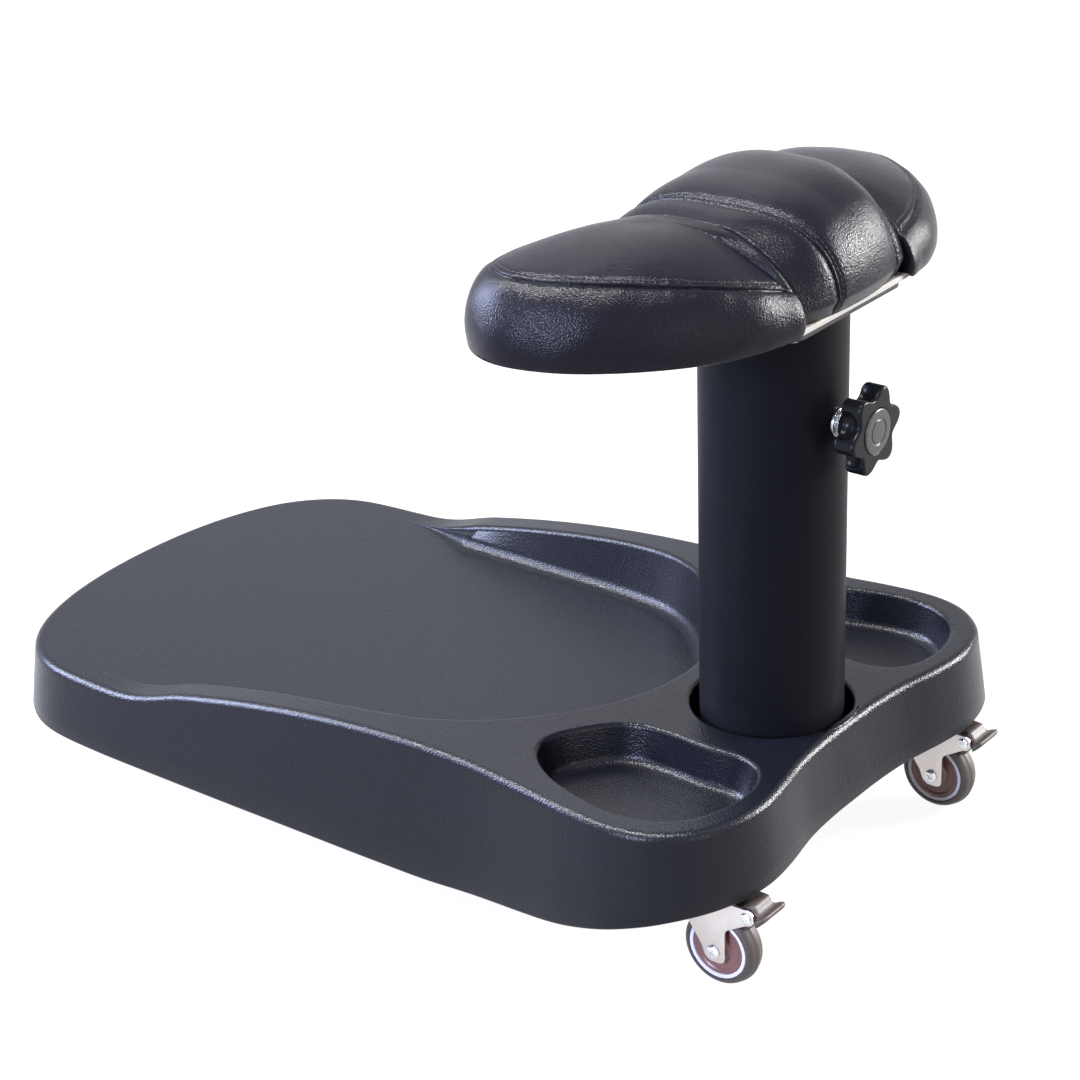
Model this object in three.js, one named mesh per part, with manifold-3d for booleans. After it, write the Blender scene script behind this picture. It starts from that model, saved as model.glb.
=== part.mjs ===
// Pedicure footrest: a rolling moulded tray with a height-adjustable leg cushion on a column.
// Millimetres, +Z up. The spa bowl stands on the recessed floor at the -X end, the column is at the +X end.
import * as THREE from 'three';
import { mergeVertices } from 'three/addons/utils/BufferGeometryUtils.js';
import Module from 'manifold-3d';

const wasm = await Module();
wasm.setup();

// Running clearance between pieces that touch or slide, and the overrun of every cut
const gap = 0.3;
const overrun = 20;

// Moulded tray
const spa_reach = 676;
const front_reach = 84.5;
const tray_half_width = 228;
const floor_height = 96;
const rim_rise = 50;
const tray_wall = 4;
const top_edge_radius = 9;
const skirt_low = 38;
const skirt_high = 84;
const skirt_draft_share = 0.115;
const arch_start = -120;
const arch_length = 200;
const rise_end = -150;
const rise_run_out = 181;
const rise_blend = 7;
const recess_column_margin = 15;
const recess_side_margin = 42;
const recess_lip_radius = 7;
const recess_foot_radius = 12;
const recess_draft = 6;
const pocket_depth = 29;
const pocket_length = 175;
const pocket_front_margin = 17.5;
const pocket_column_margin = 22;
const pocket_side_margin = 18;
const pocket_lip_radius = 6;
const pocket_foot_radius = 9;
const pocket_draft = 5;
const column_hole_radius = 62;
const column_hole_lip = 20;
const hole_edge_radius = 3.5;

// Steel under-frame and the screws that hold the tray to it
const frame_thickness = 3;
const frame_inset = 10;
const frame_hole_radius = 30;
const frame_end_margin = 121;
const frame_hole_count = 5;
const tray_boss_radius = 6;
const tray_screw_radius = 2.4;
const tray_screw_head_radius = 4.6;
const tray_screw_head_height = 2.6;
const tray_screw_length = 16;
const boss_end_margin = 236;
const boss_column_margin = 55;
const boss_side_margin = 34;

// Column, post and their guides
const column_radius = 55;
const column_wall = 3;
const column_top = 468.6;
const flange_radius = 66;
const flange_bore_radius = 40;
const flange_thickness = 5;
const flange_screw_circle = 60.6;
const flange_screw_count = 4;
const flange_screw_radius = 3;
const flange_screw_head_radius = 4.8;
const flange_screw_head_height = 4;
const post_radius = 50;
const post_wall = 3;
const post_foot_clearance = 80;
const bush_height = 16;
const bush_flange = 1.4;
const glide_height = 20;
const glide_lip = 6;
const glide_floor = 2.2;

// Seat plate, board and cushions
const seat_plate_length = 150;
const seat_plate_depth = 130;
const seat_plate_thickness = 4;
const seat_plate_corner = 14;
const seat_screw_x = 56;
const seat_screw_y = 62;
const seat_screw_radius = 3;
const seat_screw_head_radius = 5.5;
const seat_screw_head_height = 3.4;
const seat_screw_bite = 3;
const board_thickness = 4.4;
const board_inset = 5;
const cushion_front = 77;
const cushion_back = 110;
const cushion_crest_setback = 12;
const cushion_half_length = 228;
const wing_sweep = 128;
const centre_half_width = 70;
const seam_gap = 0.7;
const wing_crown = 67;
const wing_tip_drop = 18;
const wing_seam_height = 59;
const wing_seam_dip = 26;
const wing_seam_fall = 8;
const wing_back_fall = 13;
const wing_seam_inset = 14;
const end_crown = 62.5;
const welt_crown = 70;
const centre_crown = 84;
const welt_half_width = 43;
const welt_groove = 2.5;
const welt_groove_width = 5;
const centre_front_bow = 6;
const cushion_foot_inset = 9;
const cushion_foot_height = 13;
const crest_width_share = 0.667;
const crest_height_share = 0.8;

// Clamp knob on its threaded stem
const knob_drop = 82.6;
const knob_lobes = 6;
const knob_radius = 29;
const knob_lobe = 4;
const knob_depth = 17;
const knob_bevel = 4;
const knob_hub_radius = 12;
const knob_hub_length = 9;
const knob_scoop_radius = 11;
const knob_scoop_reach = 30;
const knob_scoop_depth = 12.5;
const knob_turn_degrees = 8;
const knob_cap_radius = 17;
const knob_cap_recess = 1.4;
const knob_cap_height = 2.4;
const knob_face_reach = 33;
const stem_radius = 5;
const stem_bite = 16;
const pad_radius = 4.6;
const pad_length = 3.4;
const insert_radius = 7.5;
const insert_flange_radius = 10.5;
const insert_flange_thickness = 2;

// Casters
const wheel_radius = 31;
const wheel_half_width = 9.5;
const tread_crown = 1.4;
const tyre_shoulder = 4.5;
const tyre_bore_radius = 24.6;
const core_thickness = 3;
const hub_bore_radius = 4.2;
const hub_boss_radius = 8.5;
const hub_dish = 2.2;
const caster_height = 88;
const caster_plate_half = 30;
const caster_plate_corner = 6;
const caster_plate_thickness = 3;
const caster_bolt_offset = 22;
const caster_bolt_radius = 2.9;
const caster_bolt_head_radius = 4.8;
const caster_bolt_head_height = 2.8;
const race_radius = 19;
const race_waist = 15;
const kingpin_radius = 4.5;
const kingpin_head_radius = 8;
const kingpin_head_height = 1.3;
const fork_top = 76;
const fork_sheet = 2;
const leg_gap = 12;
const axle_trail = 24;
const axle_radius = 3.6;
const axle_head_radius = 5.2;
const axle_head_height = 2.2;
const brake_pivot_reach = 28;
const brake_pivot_rise = 38;
const brake_arm_radius = 6.6;
const brake_pin_radius = 2.8;
const brake_pin_head_radius = 4.4;
const brake_pin_head_height = 1.6;
const shoe_reach = 15.7;
const shoe_lead_degrees = 14;
const shoe_half_width = 8;
const pedal_reach = 69;
const pedal_half_width = 19;
const pedal_neck_half_width = 11;
const pedal_hump = 9;
const pedal_sheet = 4;
const front_caster_setback = 48.5;
const front_caster_side_margin = 72;
const spa_caster_setback = 116;
const spa_caster_side_margin = 79;

// Facets: how finely round shapes are cut
const wheel_facets = 20;
const tube_facets = 28;
const bolt_facets = 8;
const outline_steps = 2;

// Places that follow from the sizes above
const recess_front = column_hole_radius + recess_column_margin;
const recess_half_width = tray_half_width - recess_side_margin;
const rise_length = spa_reach + rise_end - rise_run_out;
const pocket_inner = column_hole_radius + pocket_column_margin;
const pocket_outer = tray_half_width - pocket_side_margin;
const pocket_front = front_reach - pocket_front_margin;
const front_caster_x = front_reach - front_caster_setback;
const front_caster_y = tray_half_width - front_caster_side_margin;
const spa_caster_x = spa_caster_setback - spa_reach;
const spa_caster_y = tray_half_width - spa_caster_side_margin;
const frame_hole_pitch = (spa_reach - column_radius - frame_end_margin) / frame_hole_count;
const knob_height = column_top - knob_drop;

// The origin is on the ground under the middle of the whole length
const pedal_tip_x = front_caster_x + pedal_reach;
const length_shift = (spa_reach + skirt_draft_share * (floor_height - skirt_low) - pedal_tip_x) / 2;

const plateau_height = floor_height + rim_rise;
const frame_bottom = caster_height + gap;
const frame_top = frame_bottom + frame_thickness;
const axle_height = wheel_radius;
const seat_plate_bottom = column_top + bush_flange + 2 * gap;
const board_bottom = seat_plate_bottom + seat_plate_thickness + gap;
const cushion_bottom = board_bottom + board_thickness + gap;

const v2 = (x, y) => new THREE.Vector2(x, y);
const mix = (a, b, t) => a + (b - a) * t;
const smooth = (t) => {
  const u = Math.min(Math.max(t, 0), 1);
  return u * u * (3 - 2 * u);
};

// Turns a closed geometry into a solid that can be cut and joined
function solid(geometry) {
  const bare = geometry.clone();
  bare.deleteAttribute('normal');
  bare.deleteAttribute('uv');
  const merged = mergeVertices(bare);
  const index = merged.index.array;
  const kept = [];
  for (let i = 0; i < index.length; i += 3) {
    const [a, b, c] = [index[i], index[i + 1], index[i + 2]];
    if (a !== b && b !== c && c !== a) kept.push(a, b, c);
  }
  return new wasm.Manifold(new wasm.Mesh({
    numProp: 3,
    vertProperties: Float32Array.from(merged.attributes.position.array),
    triVerts: Uint32Array.from(kept),
  }));
}

function geometryOf(body) {
  const mesh = body.getMesh();
  const geometry = new THREE.BufferGeometry();
  geometry.setAttribute('position', new THREE.BufferAttribute(mesh.vertProperties, 3));
  geometry.setIndex(new THREE.BufferAttribute(mesh.triVerts, 1));
  return geometry;
}

const joined = (solids) => solids.reduce((sum, next) => sum.add(next));

// A closed skin over a stack of rings that all have the same number of points.
// An end is closed flat, or is left to close on itself where its last ring has folded onto a line.
function skin(rings, { bottom = 'flat', top = 'flat' } = {}) {
  const count = rings[0].length;
  const positions = rings.flat().flatMap((p) => [p.x, p.y, p.z]);
  const index = [];
  for (let j = 0; j < rings.length - 1; j += 1) {
    for (let i = 0; i < count; i += 1) {
      const next = (i + 1) % count;
      const [a, b] = [j * count + i, j * count + next];
      const [c, d] = [a + count, b + count];
      index.push(a, b, d, a, d, c);
    }
  }
  const cap = (ring, start, up) => {
    const faces = THREE.ShapeUtils.triangulateShape(ring.map((p) => v2(p.x, p.y)), []);
    for (const [a, b, c] of faces) index.push(start + a, start + (up ? b : c), start + (up ? c : b));
  };
  if (bottom === 'flat') cap(rings[0], 0, false);
  if (top === 'flat') cap(rings[rings.length - 1], (rings.length - 1) * count, true);
  const geometry = new THREE.BufferGeometry();
  geometry.setAttribute('position', new THREE.Float32BufferAttribute(positions, 3));
  geometry.setIndex(index);
  return geometry;
}

// A smooth closed outline through hand-chosen points, with its outward normals
function outline(points, steps = outline_steps) {
  const curve = new THREE.CatmullRomCurve3(points.map(([x, y]) => new THREE.Vector3(x, y, 0)), true, 'centripetal');
  const line = curve.getPoints(points.length * steps).slice(0, -1);
  return line.map((p, i) => {
    const before = line[(i + line.length - 1) % line.length];
    const after = line[(i + 1) % line.length];
    const along = after.clone().sub(before).normalize();
    return { x: p.x, y: p.y, nx: along.y, ny: -along.x };
  });
}

// The half outline (y >= 0, in shares of its lengths) completed with its mirror image, anticlockwise from the -X end
function mirroredOutline(halfShares, backReach, frontReach, halfWidth, steps) {
  const half = halfShares.map(([x, y]) => [x < 0 ? x * backReach : x * frontReach, y * halfWidth]);
  const inner = half.slice(1, -1);
  const lower = inner.map(([x, y]) => [x, -y]);
  return outline([half[0], ...lower, half[half.length - 1], ...inner.reverse()], steps);
}

const offset = (line, distance, height) => line.map((p) => {
  const [dx, h] = [typeof distance === 'function' ? distance(p) : distance, height(p)];
  return new THREE.Vector3(p.x + p.nx * dx, p.y + p.ny * dx, h);
});

// The same outline folded part of the way (share) onto a line on the X axis
function folded(line, share, from, to, height) {
  const half = line.length / 2;
  return line.map((p, i) => {
    const along = Math.min(i, line.length - i) / half;
    const x = mix(p.x, mix(from, to, along), share);
    return new THREE.Vector3(x, p.y * (1 - share), height({ x }));
  });
}

function cylinder(radius, low, high, facets = bolt_facets) {
  const geometry = new THREE.CylinderGeometry(radius, radius, high - low, facets);
  geometry.rotateX(Math.PI / 2);
  geometry.translate(0, 0, (low + high) / 2);
  return geometry;
}

const lathe = (points, facets) => {
  const geometry = new THREE.LatheGeometry(points.map(([r, z]) => v2(r, z)), facets);
  geometry.rotateX(Math.PI / 2);
  return geometry;
};

const ring = (inner, outer, low, high, facets = tube_facets) => lathe(
  [[inner, low], [outer, low], [outer, high], [inner, high], [inner, low]],
  facets,
);

function plateGeometry(shape, low, high, curveSegments = bolt_facets) {
  const geometry = new THREE.ExtrudeGeometry(shape, { depth: high - low, bevelEnabled: false, curveSegments });
  geometry.translate(0, 0, low);
  return geometry;
}

function roundedRectangle(halfX, halfY, corner) {
  const shape = new THREE.Shape();
  shape.moveTo(-halfX + corner, -halfY);
  shape.lineTo(halfX - corner, -halfY);
  shape.absarc(halfX - corner, -halfY + corner, corner, -Math.PI / 2, 0, false);
  shape.absarc(halfX - corner, halfY - corner, corner, 0, Math.PI / 2, false);
  shape.absarc(-halfX + corner, halfY - corner, corner, Math.PI / 2, Math.PI, false);
  shape.absarc(-halfX + corner, -halfY + corner, corner, Math.PI, 1.5 * Math.PI, false);
  return shape;
}

const hole = (x, y, radius, facets = bolt_facets) => new THREE.Path(Array.from({ length: facets }, (_, i) => {
  const angle = -(i + 0.5) * 2 * Math.PI / facets;
  return v2(x + radius * Math.cos(angle), y + radius * Math.sin(angle));
}));

// A round-headed screw standing on its head, its shank pointing up from height zero
const screw = (shankRadius, shankLength, headRadius, headHeight, facets = bolt_facets) => lathe(
  [[0, -headHeight], [headRadius * 0.75, -headHeight], [headRadius, -headHeight / 2], [headRadius, 0],
    [shankRadius, 0], [shankRadius, shankLength], [0, shankLength]],
  facets,
);

const group = new THREE.Group();
const product = new THREE.Group();
product.position.x = length_shift;
group.add(product);

function add(name, geometry, { color, roughness, metalness = 0 }, parent = product) {
  const material = new THREE.MeshStandardMaterial({ color, roughness, metalness, side: THREE.FrontSide });
  const mesh = new THREE.Mesh(geometry, material);
  mesh.name = name;
  parent.add(mesh);
  return mesh;
}

const black_moulding = { color: 0x23252d, roughness: 0.55 };
const black_paint = { color: 0x17171b, roughness: 0.45, metalness: 0.2 };
const zinc = { color: 0xb8bcc0, roughness: 0.35, metalness: 0.9 };
const stainless = { color: 0xb2aaa8, roughness: 0.4, metalness: 0.85 };
const nylon = { color: 0x2b2b2e, roughness: 0.6 };
const gloss_black = { color: 0x101114, roughness: 0.2 };
const leather = { color: 0x15161c, roughness: 0.4 };
const pale_board = { color: 0xc9c9c4, roughness: 0.7 };
const grey_rubber = { color: 0x5a4d47, roughness: 0.6 };
const pale_core = { color: 0xd6cfe2, roughness: 0.5 };
const brown_plastic = { color: 0x6e4336, roughness: 0.5 };
const dark_brown = { color: 0x3a2c29, roughness: 0.45 };

// Moulded tray
// Points of its top edge from the middle of the spa end round one side to the middle of the column end
const tray_outline_shares = [
  [-1, 0], [-0.995, 0.25], [-0.98, 0.47], [-0.952, 0.67], [-0.915, 0.8], [-0.865, 0.885],
  [-0.77, 0.92], [-0.6, 0.919], [-0.4, 0.915], [-0.2, 0.924], [-0.11, 0.957], [-0.04, 0.99],
  [0.15, 1], [0.5, 0.966], [0.8, 0.87], [0.94, 0.76], [1, 0.63], [0.965, 0.49], [0.87, 0.31],
  [0.83, 0.14], [0.826, 0],
];
const recess_outline_shares = [
  [1.08, 0], [1.08, 0.7], [1.067, 1.3], [0.977, 1.34], [0.887, 1.16], [0.797, 1.03], [0.681, 1], [0.48, 0.992],
  [0.289, 0.978], [0.208, 0.93], [0.141, 0.815], [0.08, 0.63], [0.0386, 0.45], [0.0103, 0.23], [0, 0],
];
const pocket_outline_shares = [
  [-1, -0.1], [-0.97, 0.2], [-0.84, 0.5], [-0.62, 0.84], [-0.4, 0.97], [-0.1, 0.99], [0.25, 0.95],
  [0.6, 0.96], [0.82, 0.84], [0.96, 0.55], [1, 0.05], [0.88, -0.52], [0.68, -0.83], [0.42, -0.98],
  [0.12, -1], [-0.24, -0.9], [-0.56, -0.74], [-0.86, -0.45],
];
const tray_line = mirroredOutline(tray_outline_shares, spa_reach, front_reach, tray_half_width);
const recess_line = mirroredOutline(
  recess_outline_shares.map(([x, y]) => [-mix(recess_front, spa_reach, x), y]),
  1,
  1,
  recess_half_width,
);

// The rim stands high round the column and sweeps down to the floor at the spa end
function rimHeight({ x }) {
  const t = Math.max((rise_end - x) / rise_length, 0);
  const rise = rim_rise * (1 - t * t);
  return floor_height + (rise + Math.hypot(rise, rise_blend)) / 2;
}
const skirtHeight = ({ x }) => mix(skirt_low, skirt_high, smooth((x - arch_start) / arch_length));
const flare = (p) => skirt_draft_share * (rimHeight(p) - skirtHeight(p));
const fillet_shares = [0, 0.35, 0.7, 1];
const foot_shares = [0, 0.5, 1];
const rough_shares = [0, 1];
const fold_from = -0.8 * spa_reach;
const fold_to = 0.3 * front_reach;
const fold_share = 0.2;

// The tray's outer form, or the hollow inside it when it is drawn in by a wall
function trayForm(wall) {
  const radius = wall > 0 ? top_edge_radius - wall : top_edge_radius;
  const low = wall > 0 ? () => skirtHeight({ x: 0 }) - skirt_high : skirtHeight;
  const topOf = (p) => rimHeight(p) - wall;
  const rings = [
    folded(tray_line, 1, fold_from, fold_to, low),
    offset(tray_line, (p) => flare(p) - wall, low),
  ];
  if (wall > 0) rings.push(offset(tray_line, (p) => flare(p) - wall, skirtHeight));
  for (const share of wall > 0 ? rough_shares : fillet_shares) {
    const angle = share * Math.PI / 2;
    rings.push(offset(
      tray_line,
      -wall - radius * (1 - Math.cos(angle)),
      (p) => topOf(p) - radius * (1 - Math.sin(angle)),
    ));
  }
  rings.push(folded(tray_line, fold_share, fold_from, fold_to, topOf));
  rings.push(folded(tray_line, 1, fold_from, fold_to, topOf));
  return solid(skin(rings, { bottom: 'fold', top: 'fold' }));
}

// A hollow pressed into the top: flat foot, rounded foot edge, drafted wall and rounded lip.
// A positive wall grows it outward and down into the underside of the same hollow.
function hollow(line, footHeight, lipRadius, footRadius, draft, wall) {
  const depth = (p) => rimHeight(p) - footHeight;
  const ease = (p) => Math.min(1, depth(p) / (lipRadius + footRadius));
  const rings = [];
  for (const share of wall > 0 ? rough_shares : foot_shares) {
    const angle = share * Math.PI / 2;
    rings.push(offset(
      line,
      (p) => wall - ease(p) * (lipRadius + draft + footRadius * (1 - Math.sin(angle))),
      (p) => footHeight - wall + ease(p) * footRadius * (1 - Math.cos(angle)),
    ));
  }
  for (const share of wall > 0 ? [0.5] : [0.3, 0.75]) {
    const angle = share * Math.PI / 2;
    rings.push(offset(
      line,
      (p) => wall - ease(p) * lipRadius * Math.cos(angle),
      (p) => rimHeight(p) - wall - ease(p) * lipRadius * (1 - Math.sin(angle)),
    ));
  }
  rings.push(offset(line, wall + gap, (p) => rimHeight(p) - wall + gap));
  rings.push(offset(line, wall + gap, () => plateau_height + overrun));
  return solid(skin(rings));
}

const pocket_points = pocket_outline_shares.map(([x, y]) => [
  pocket_front - pocket_length / 2 + x * pocket_length / 2,
  -(pocket_inner + pocket_outer) / 2 + y * (pocket_outer - pocket_inner) / 2,
]);
const left_pocket_line = outline(pocket_points.slice().reverse());
const right_pocket_line = outline(pocket_points.map(([x, y]) => [x, -y]));
const pocket_floor = plateau_height - pocket_depth;

function trayHollows(wall) {
  const pocket = (line) => hollow(line, pocket_floor, pocket_lip_radius, pocket_foot_radius, pocket_draft, wall);
  return [
    hollow(recess_line, floor_height, recess_lip_radius, recess_foot_radius, recess_draft, wall),
    pocket(left_pocket_line),
    pocket(right_pocket_line),
  ];
}

const boss_places = [];
for (const x of [boss_end_margin - spa_reach, -column_radius - boss_column_margin]) {
  for (const side of [-1, 1]) boss_places.push([x, side * (tray_half_width - boss_side_margin)]);
}

const hole_cut = lathe([
  [0, floor_height - overrun],
  [column_hole_radius, floor_height - overrun],
  [column_hole_radius, plateau_height - hole_edge_radius],
  [column_hole_radius + hole_edge_radius / 2, plateau_height - hole_edge_radius / 4],
  [column_hole_radius + hole_edge_radius, plateau_height + hole_edge_radius],
  [0, plateau_height + hole_edge_radius],
], tube_facets);

const hole_collar = cylinder(
  column_hole_radius + tray_wall,
  plateau_height - column_hole_lip,
  plateau_height,
  tube_facets,
);

function baseTray() {
  const bosses = boss_places.map(([x, y]) => solid(
    cylinder(tray_boss_radius, frame_top + gap, plateau_height).translate(x, y, 0),
  ));
  const pilots = boss_places.map(([x, y]) => solid(
    cylinder(tray_screw_radius + gap, 0, frame_top + tray_screw_length).translate(x, y, 0),
  ));
  const cavity = [...trayHollows(tray_wall), solid(hole_collar), ...bosses]
    .reduce((space, piece) => space.subtract(piece), trayForm(tray_wall));
  return [...trayHollows(0), solid(hole_cut), cavity, ...pilots]
    .reduce((body, piece) => body.subtract(piece), trayForm(0));
}
add('base_tray', geometryOf(baseTray()), black_moulding);

// Steel plate under the tray, on the casters; the column is bolted to it
const caster_places = [
  { name: 'column_left', x: front_caster_x, y: -front_caster_y, braked: true },
  { name: 'column_right', x: front_caster_x, y: front_caster_y, braked: true },
  { name: 'spa_left', x: spa_caster_x, y: -spa_caster_y, braked: false },
  { name: 'spa_right', x: spa_caster_x, y: spa_caster_y, braked: false },
];
const bolt_corners = [[-1, -1], [1, -1], [1, 1], [-1, 1]];

function framePlate() {
  const edge = tray_line
    .filter((_, i) => i % outline_steps === 0)
    .map((p) => v2(p.x - p.nx * frame_inset, p.y - p.ny * frame_inset));
  const shape = new THREE.Shape(edge);
  for (const caster of caster_places) {
    for (const [i, j] of bolt_corners) {
      shape.holes.push(hole(
        caster.x + i * caster_bolt_offset,
        caster.y + j * caster_bolt_offset,
        caster_bolt_radius + 2 * gap,
        bolt_facets - 2,
      ));
    }
  }
  for (const [x, y] of boss_places) shape.holes.push(hole(x, y, tray_screw_radius + gap));
  for (let i = 0; i < flange_screw_count; i += 1) {
    const angle = (i + 0.5) * 2 * Math.PI / flange_screw_count;
    shape.holes.push(hole(
      flange_screw_circle * Math.cos(angle),
      flange_screw_circle * Math.sin(angle),
      flange_screw_radius + gap,
    ));
  }
  for (let i = 0; i < frame_hole_count; i += 1) {
    shape.holes.push(hole(-column_radius - (i + 1) * frame_hole_pitch, 0, frame_hole_radius, wheel_facets));
  }
  return plateGeometry(shape, frame_bottom, frame_top, bolt_facets);
}
add('frame_plate', framePlate(), black_paint);

boss_places.forEach(([x, y], i) => add(
  `tray_screw_${i + 1}`,
  screw(tray_screw_radius, tray_screw_length, tray_screw_head_radius, tray_screw_head_height)
    .translate(x, y, frame_bottom - gap),
  zinc,
));

// Column with its foot flange
const flange_top = frame_top + gap + flange_thickness;
const flange_screw_places = [];
for (let i = 0; i < flange_screw_count; i += 1) {
  const angle = (i + 0.5) * 2 * Math.PI / flange_screw_count;
  flange_screw_places.push([flange_screw_circle * Math.cos(angle), flange_screw_circle * Math.sin(angle)]);
}
const flange_holes = flange_screw_places.map(([x, y]) => solid(
  cylinder(flange_screw_radius + gap, 0, flange_top + overrun).translate(x, y, 0),
));
flange_screw_places.forEach(([x, y], i) => add(
  `flange_screw_${i + 1}`,
  screw(flange_screw_radius, flange_thickness + frame_thickness, flange_screw_head_radius, flange_screw_head_height)
    .rotateX(Math.PI)
    .translate(x, y, flange_top + gap),
  zinc,
));

const across = (geometry, x, z) => geometry.rotateY(Math.PI / 2).translate(x, 0, z);
const insert_hole = across(cylinder(insert_radius + gap, 0, column_radius + overrun, tube_facets / 2), 0, knob_height);
const column_foot = solid(ring(flange_bore_radius, flange_radius, frame_top + gap, flange_top));
const column_tube = solid(ring(column_radius - column_wall, column_radius, frame_top + gap, column_top));
add('outer_column', geometryOf([...flange_holes, solid(insert_hole)].reduce(
  (body, cut) => body.subtract(cut),
  column_tube.add(column_foot),
)), black_paint);

// Top guide bush, pressed into the column's mouth
const bush_outer = column_radius - column_wall - gap;
const bush_inner = post_radius + gap;
add('top_bush', lathe([
  [bush_inner, column_top - bush_height],
  [bush_outer, column_top - bush_height],
  [bush_outer, column_top + gap],
  [column_radius, column_top + gap],
  [column_radius, column_top + gap + bush_flange],
  [bush_inner, column_top + gap + bush_flange],
  [bush_inner, column_top - bush_height],
], tube_facets), nylon);

// Post that slides in the column, and the glide cup on its lower end
const post_bottom = flange_top + post_foot_clearance;
add('inner_post', ring(post_radius - post_wall, post_radius, post_bottom, seat_plate_bottom - gap), zinc);
const cup_bottom = post_bottom - gap - glide_floor;
add('glide_cup', lathe([
  [post_radius - post_wall - glide_lip, cup_bottom],
  [bush_outer, cup_bottom],
  [bush_outer, cup_bottom + glide_height],
  [bush_inner, cup_bottom + glide_height],
  [bush_inner, cup_bottom + glide_floor],
  [post_radius - post_wall - glide_lip, cup_bottom + glide_floor],
  [post_radius - post_wall - glide_lip, cup_bottom],
], tube_facets), nylon);

// Seat plate on the post, screwed to the board
const seat_screw_places = bolt_corners.map(([i, j]) => [i * seat_screw_x, j * seat_screw_y]);
const seat_shape = roundedRectangle(seat_plate_depth / 2, seat_plate_length / 2, seat_plate_corner);
for (const [x, y] of seat_screw_places) seat_shape.holes.push(hole(x, y, seat_screw_radius + gap));
add('seat_plate', plateGeometry(
  seat_shape,
  seat_plate_bottom,
  seat_plate_bottom + seat_plate_thickness,
  bolt_facets / 2,
), black_paint);

seat_screw_places.forEach(([x, y], i) => add(
  `seat_screw_${i + 1}`,
  screw(seat_screw_radius, seat_plate_thickness + seat_screw_bite, seat_screw_head_radius, seat_screw_head_height)
    .translate(x, y, seat_plate_bottom - gap),
  zinc,
));

// Cushion plan: a short crescent, its wings swept back from the raised middle
const wing_outline_shares = [
  [0.93, 0], [0.92, 0.1], [0.85, 0.26], [0.6, 0.51], [0.12, 0.77], [-0.27, 0.95], [-0.63, 1], [-0.9, 0.88],
  [-1, 0.68], [-0.95, 0.38], [-0.87, 0.16], [-0.81, 0],
];
const wing_length = cushion_half_length - centre_half_width - seam_gap;
const wing_root = centre_half_width + seam_gap;
const wing_points = (side) => wing_outline_shares.map(([x, y]) => [
  x > 0 ? x * cushion_front : x * wing_sweep,
  side * (wing_root + y * wing_length),
]);

// The board under the cushions follows their joint outline
function cushionBoard() {
  const right = wing_points(1).map(([x, y]) => v2(x, y));
  const left = wing_points(-1).map(([x, y]) => v2(x, y)).reverse();
  const rim = outline([...right, ...left].map((p) => [p.x, p.y]), outline_steps - 1);
  const shape = new THREE.Shape(rim.map((p) => v2(p.x - p.nx * board_inset, p.y - p.ny * board_inset)));
  for (const [x, y] of seat_screw_places) shape.holes.push(hole(x, y, seat_screw_radius + gap));
  return plateGeometry(shape, board_bottom, board_bottom + board_thickness);
}
add('cushion_board', cushionBoard(), pale_board);

// The side view that the cushions share: how high the crest stands at x, in shares of its height
function crestShare(x) {
  const past = x + cushion_crest_setback;
  const reach = past > 0 ? cushion_front + cushion_crest_setback : cushion_back - cushion_crest_setback;
  const t = Math.min(Math.abs(past) / reach, 1);
  return (1 - t ** (2 / crest_width_share)) ** (crest_height_share / 2);
}

// Height of the middle cushion's crest across its width: a crowned panel between two sewn grooves, a lower band outside
function centreCrest(y) {
  const away = Math.abs(y);
  const groove = welt_groove * Math.max(1 - Math.abs(away - welt_half_width) / welt_groove_width, 0);
  if (away < welt_half_width) {
    return mix(centre_crown, welt_crown, (away / welt_half_width) ** 2) - groove;
  }
  return mix(welt_crown, end_crown, (away - welt_half_width) / (centre_half_width - welt_half_width)) - groove;
}

function centreSection(y) {
  const steps = wheel_facets;
  const bow = centre_front_bow * (y / centre_half_width) ** 2;
  return Array.from({ length: steps + 1 }, (_, i) => {
    const angle = i * Math.PI / steps;
    const height = i % steps === 0 ? 0 : centreCrest(y) * Math.sin(angle) ** crest_height_share;
    const foot = cushion_foot_inset * Math.max(1 - height / cushion_foot_height, 0);
    const forward = angle < Math.PI / 2;
    const reach = (forward ? cushion_front - bow + cushion_crest_setback : cushion_back - cushion_crest_setback) - foot;
    const x = (forward ? reach : -reach) * Math.abs(Math.cos(angle)) ** crest_width_share - cushion_crest_setback;
    return new THREE.Vector3(x, cushion_bottom + height, y);
  });
}

const centre_places = [
  centre_half_width,
  (centre_half_width + welt_half_width) / 2,
  welt_half_width + welt_groove_width,
  welt_half_width,
  welt_half_width - welt_groove_width,
  welt_half_width * 0.65,
  welt_half_width * 0.35,
  0,
];
const centre_rows = [...centre_places.map((y) => -y), ...centre_places.slice(0, -1).reverse()];
add('cushion_centre', skin(centre_rows.map(centreSection)).rotateX(Math.PI / 2), leather);

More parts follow.
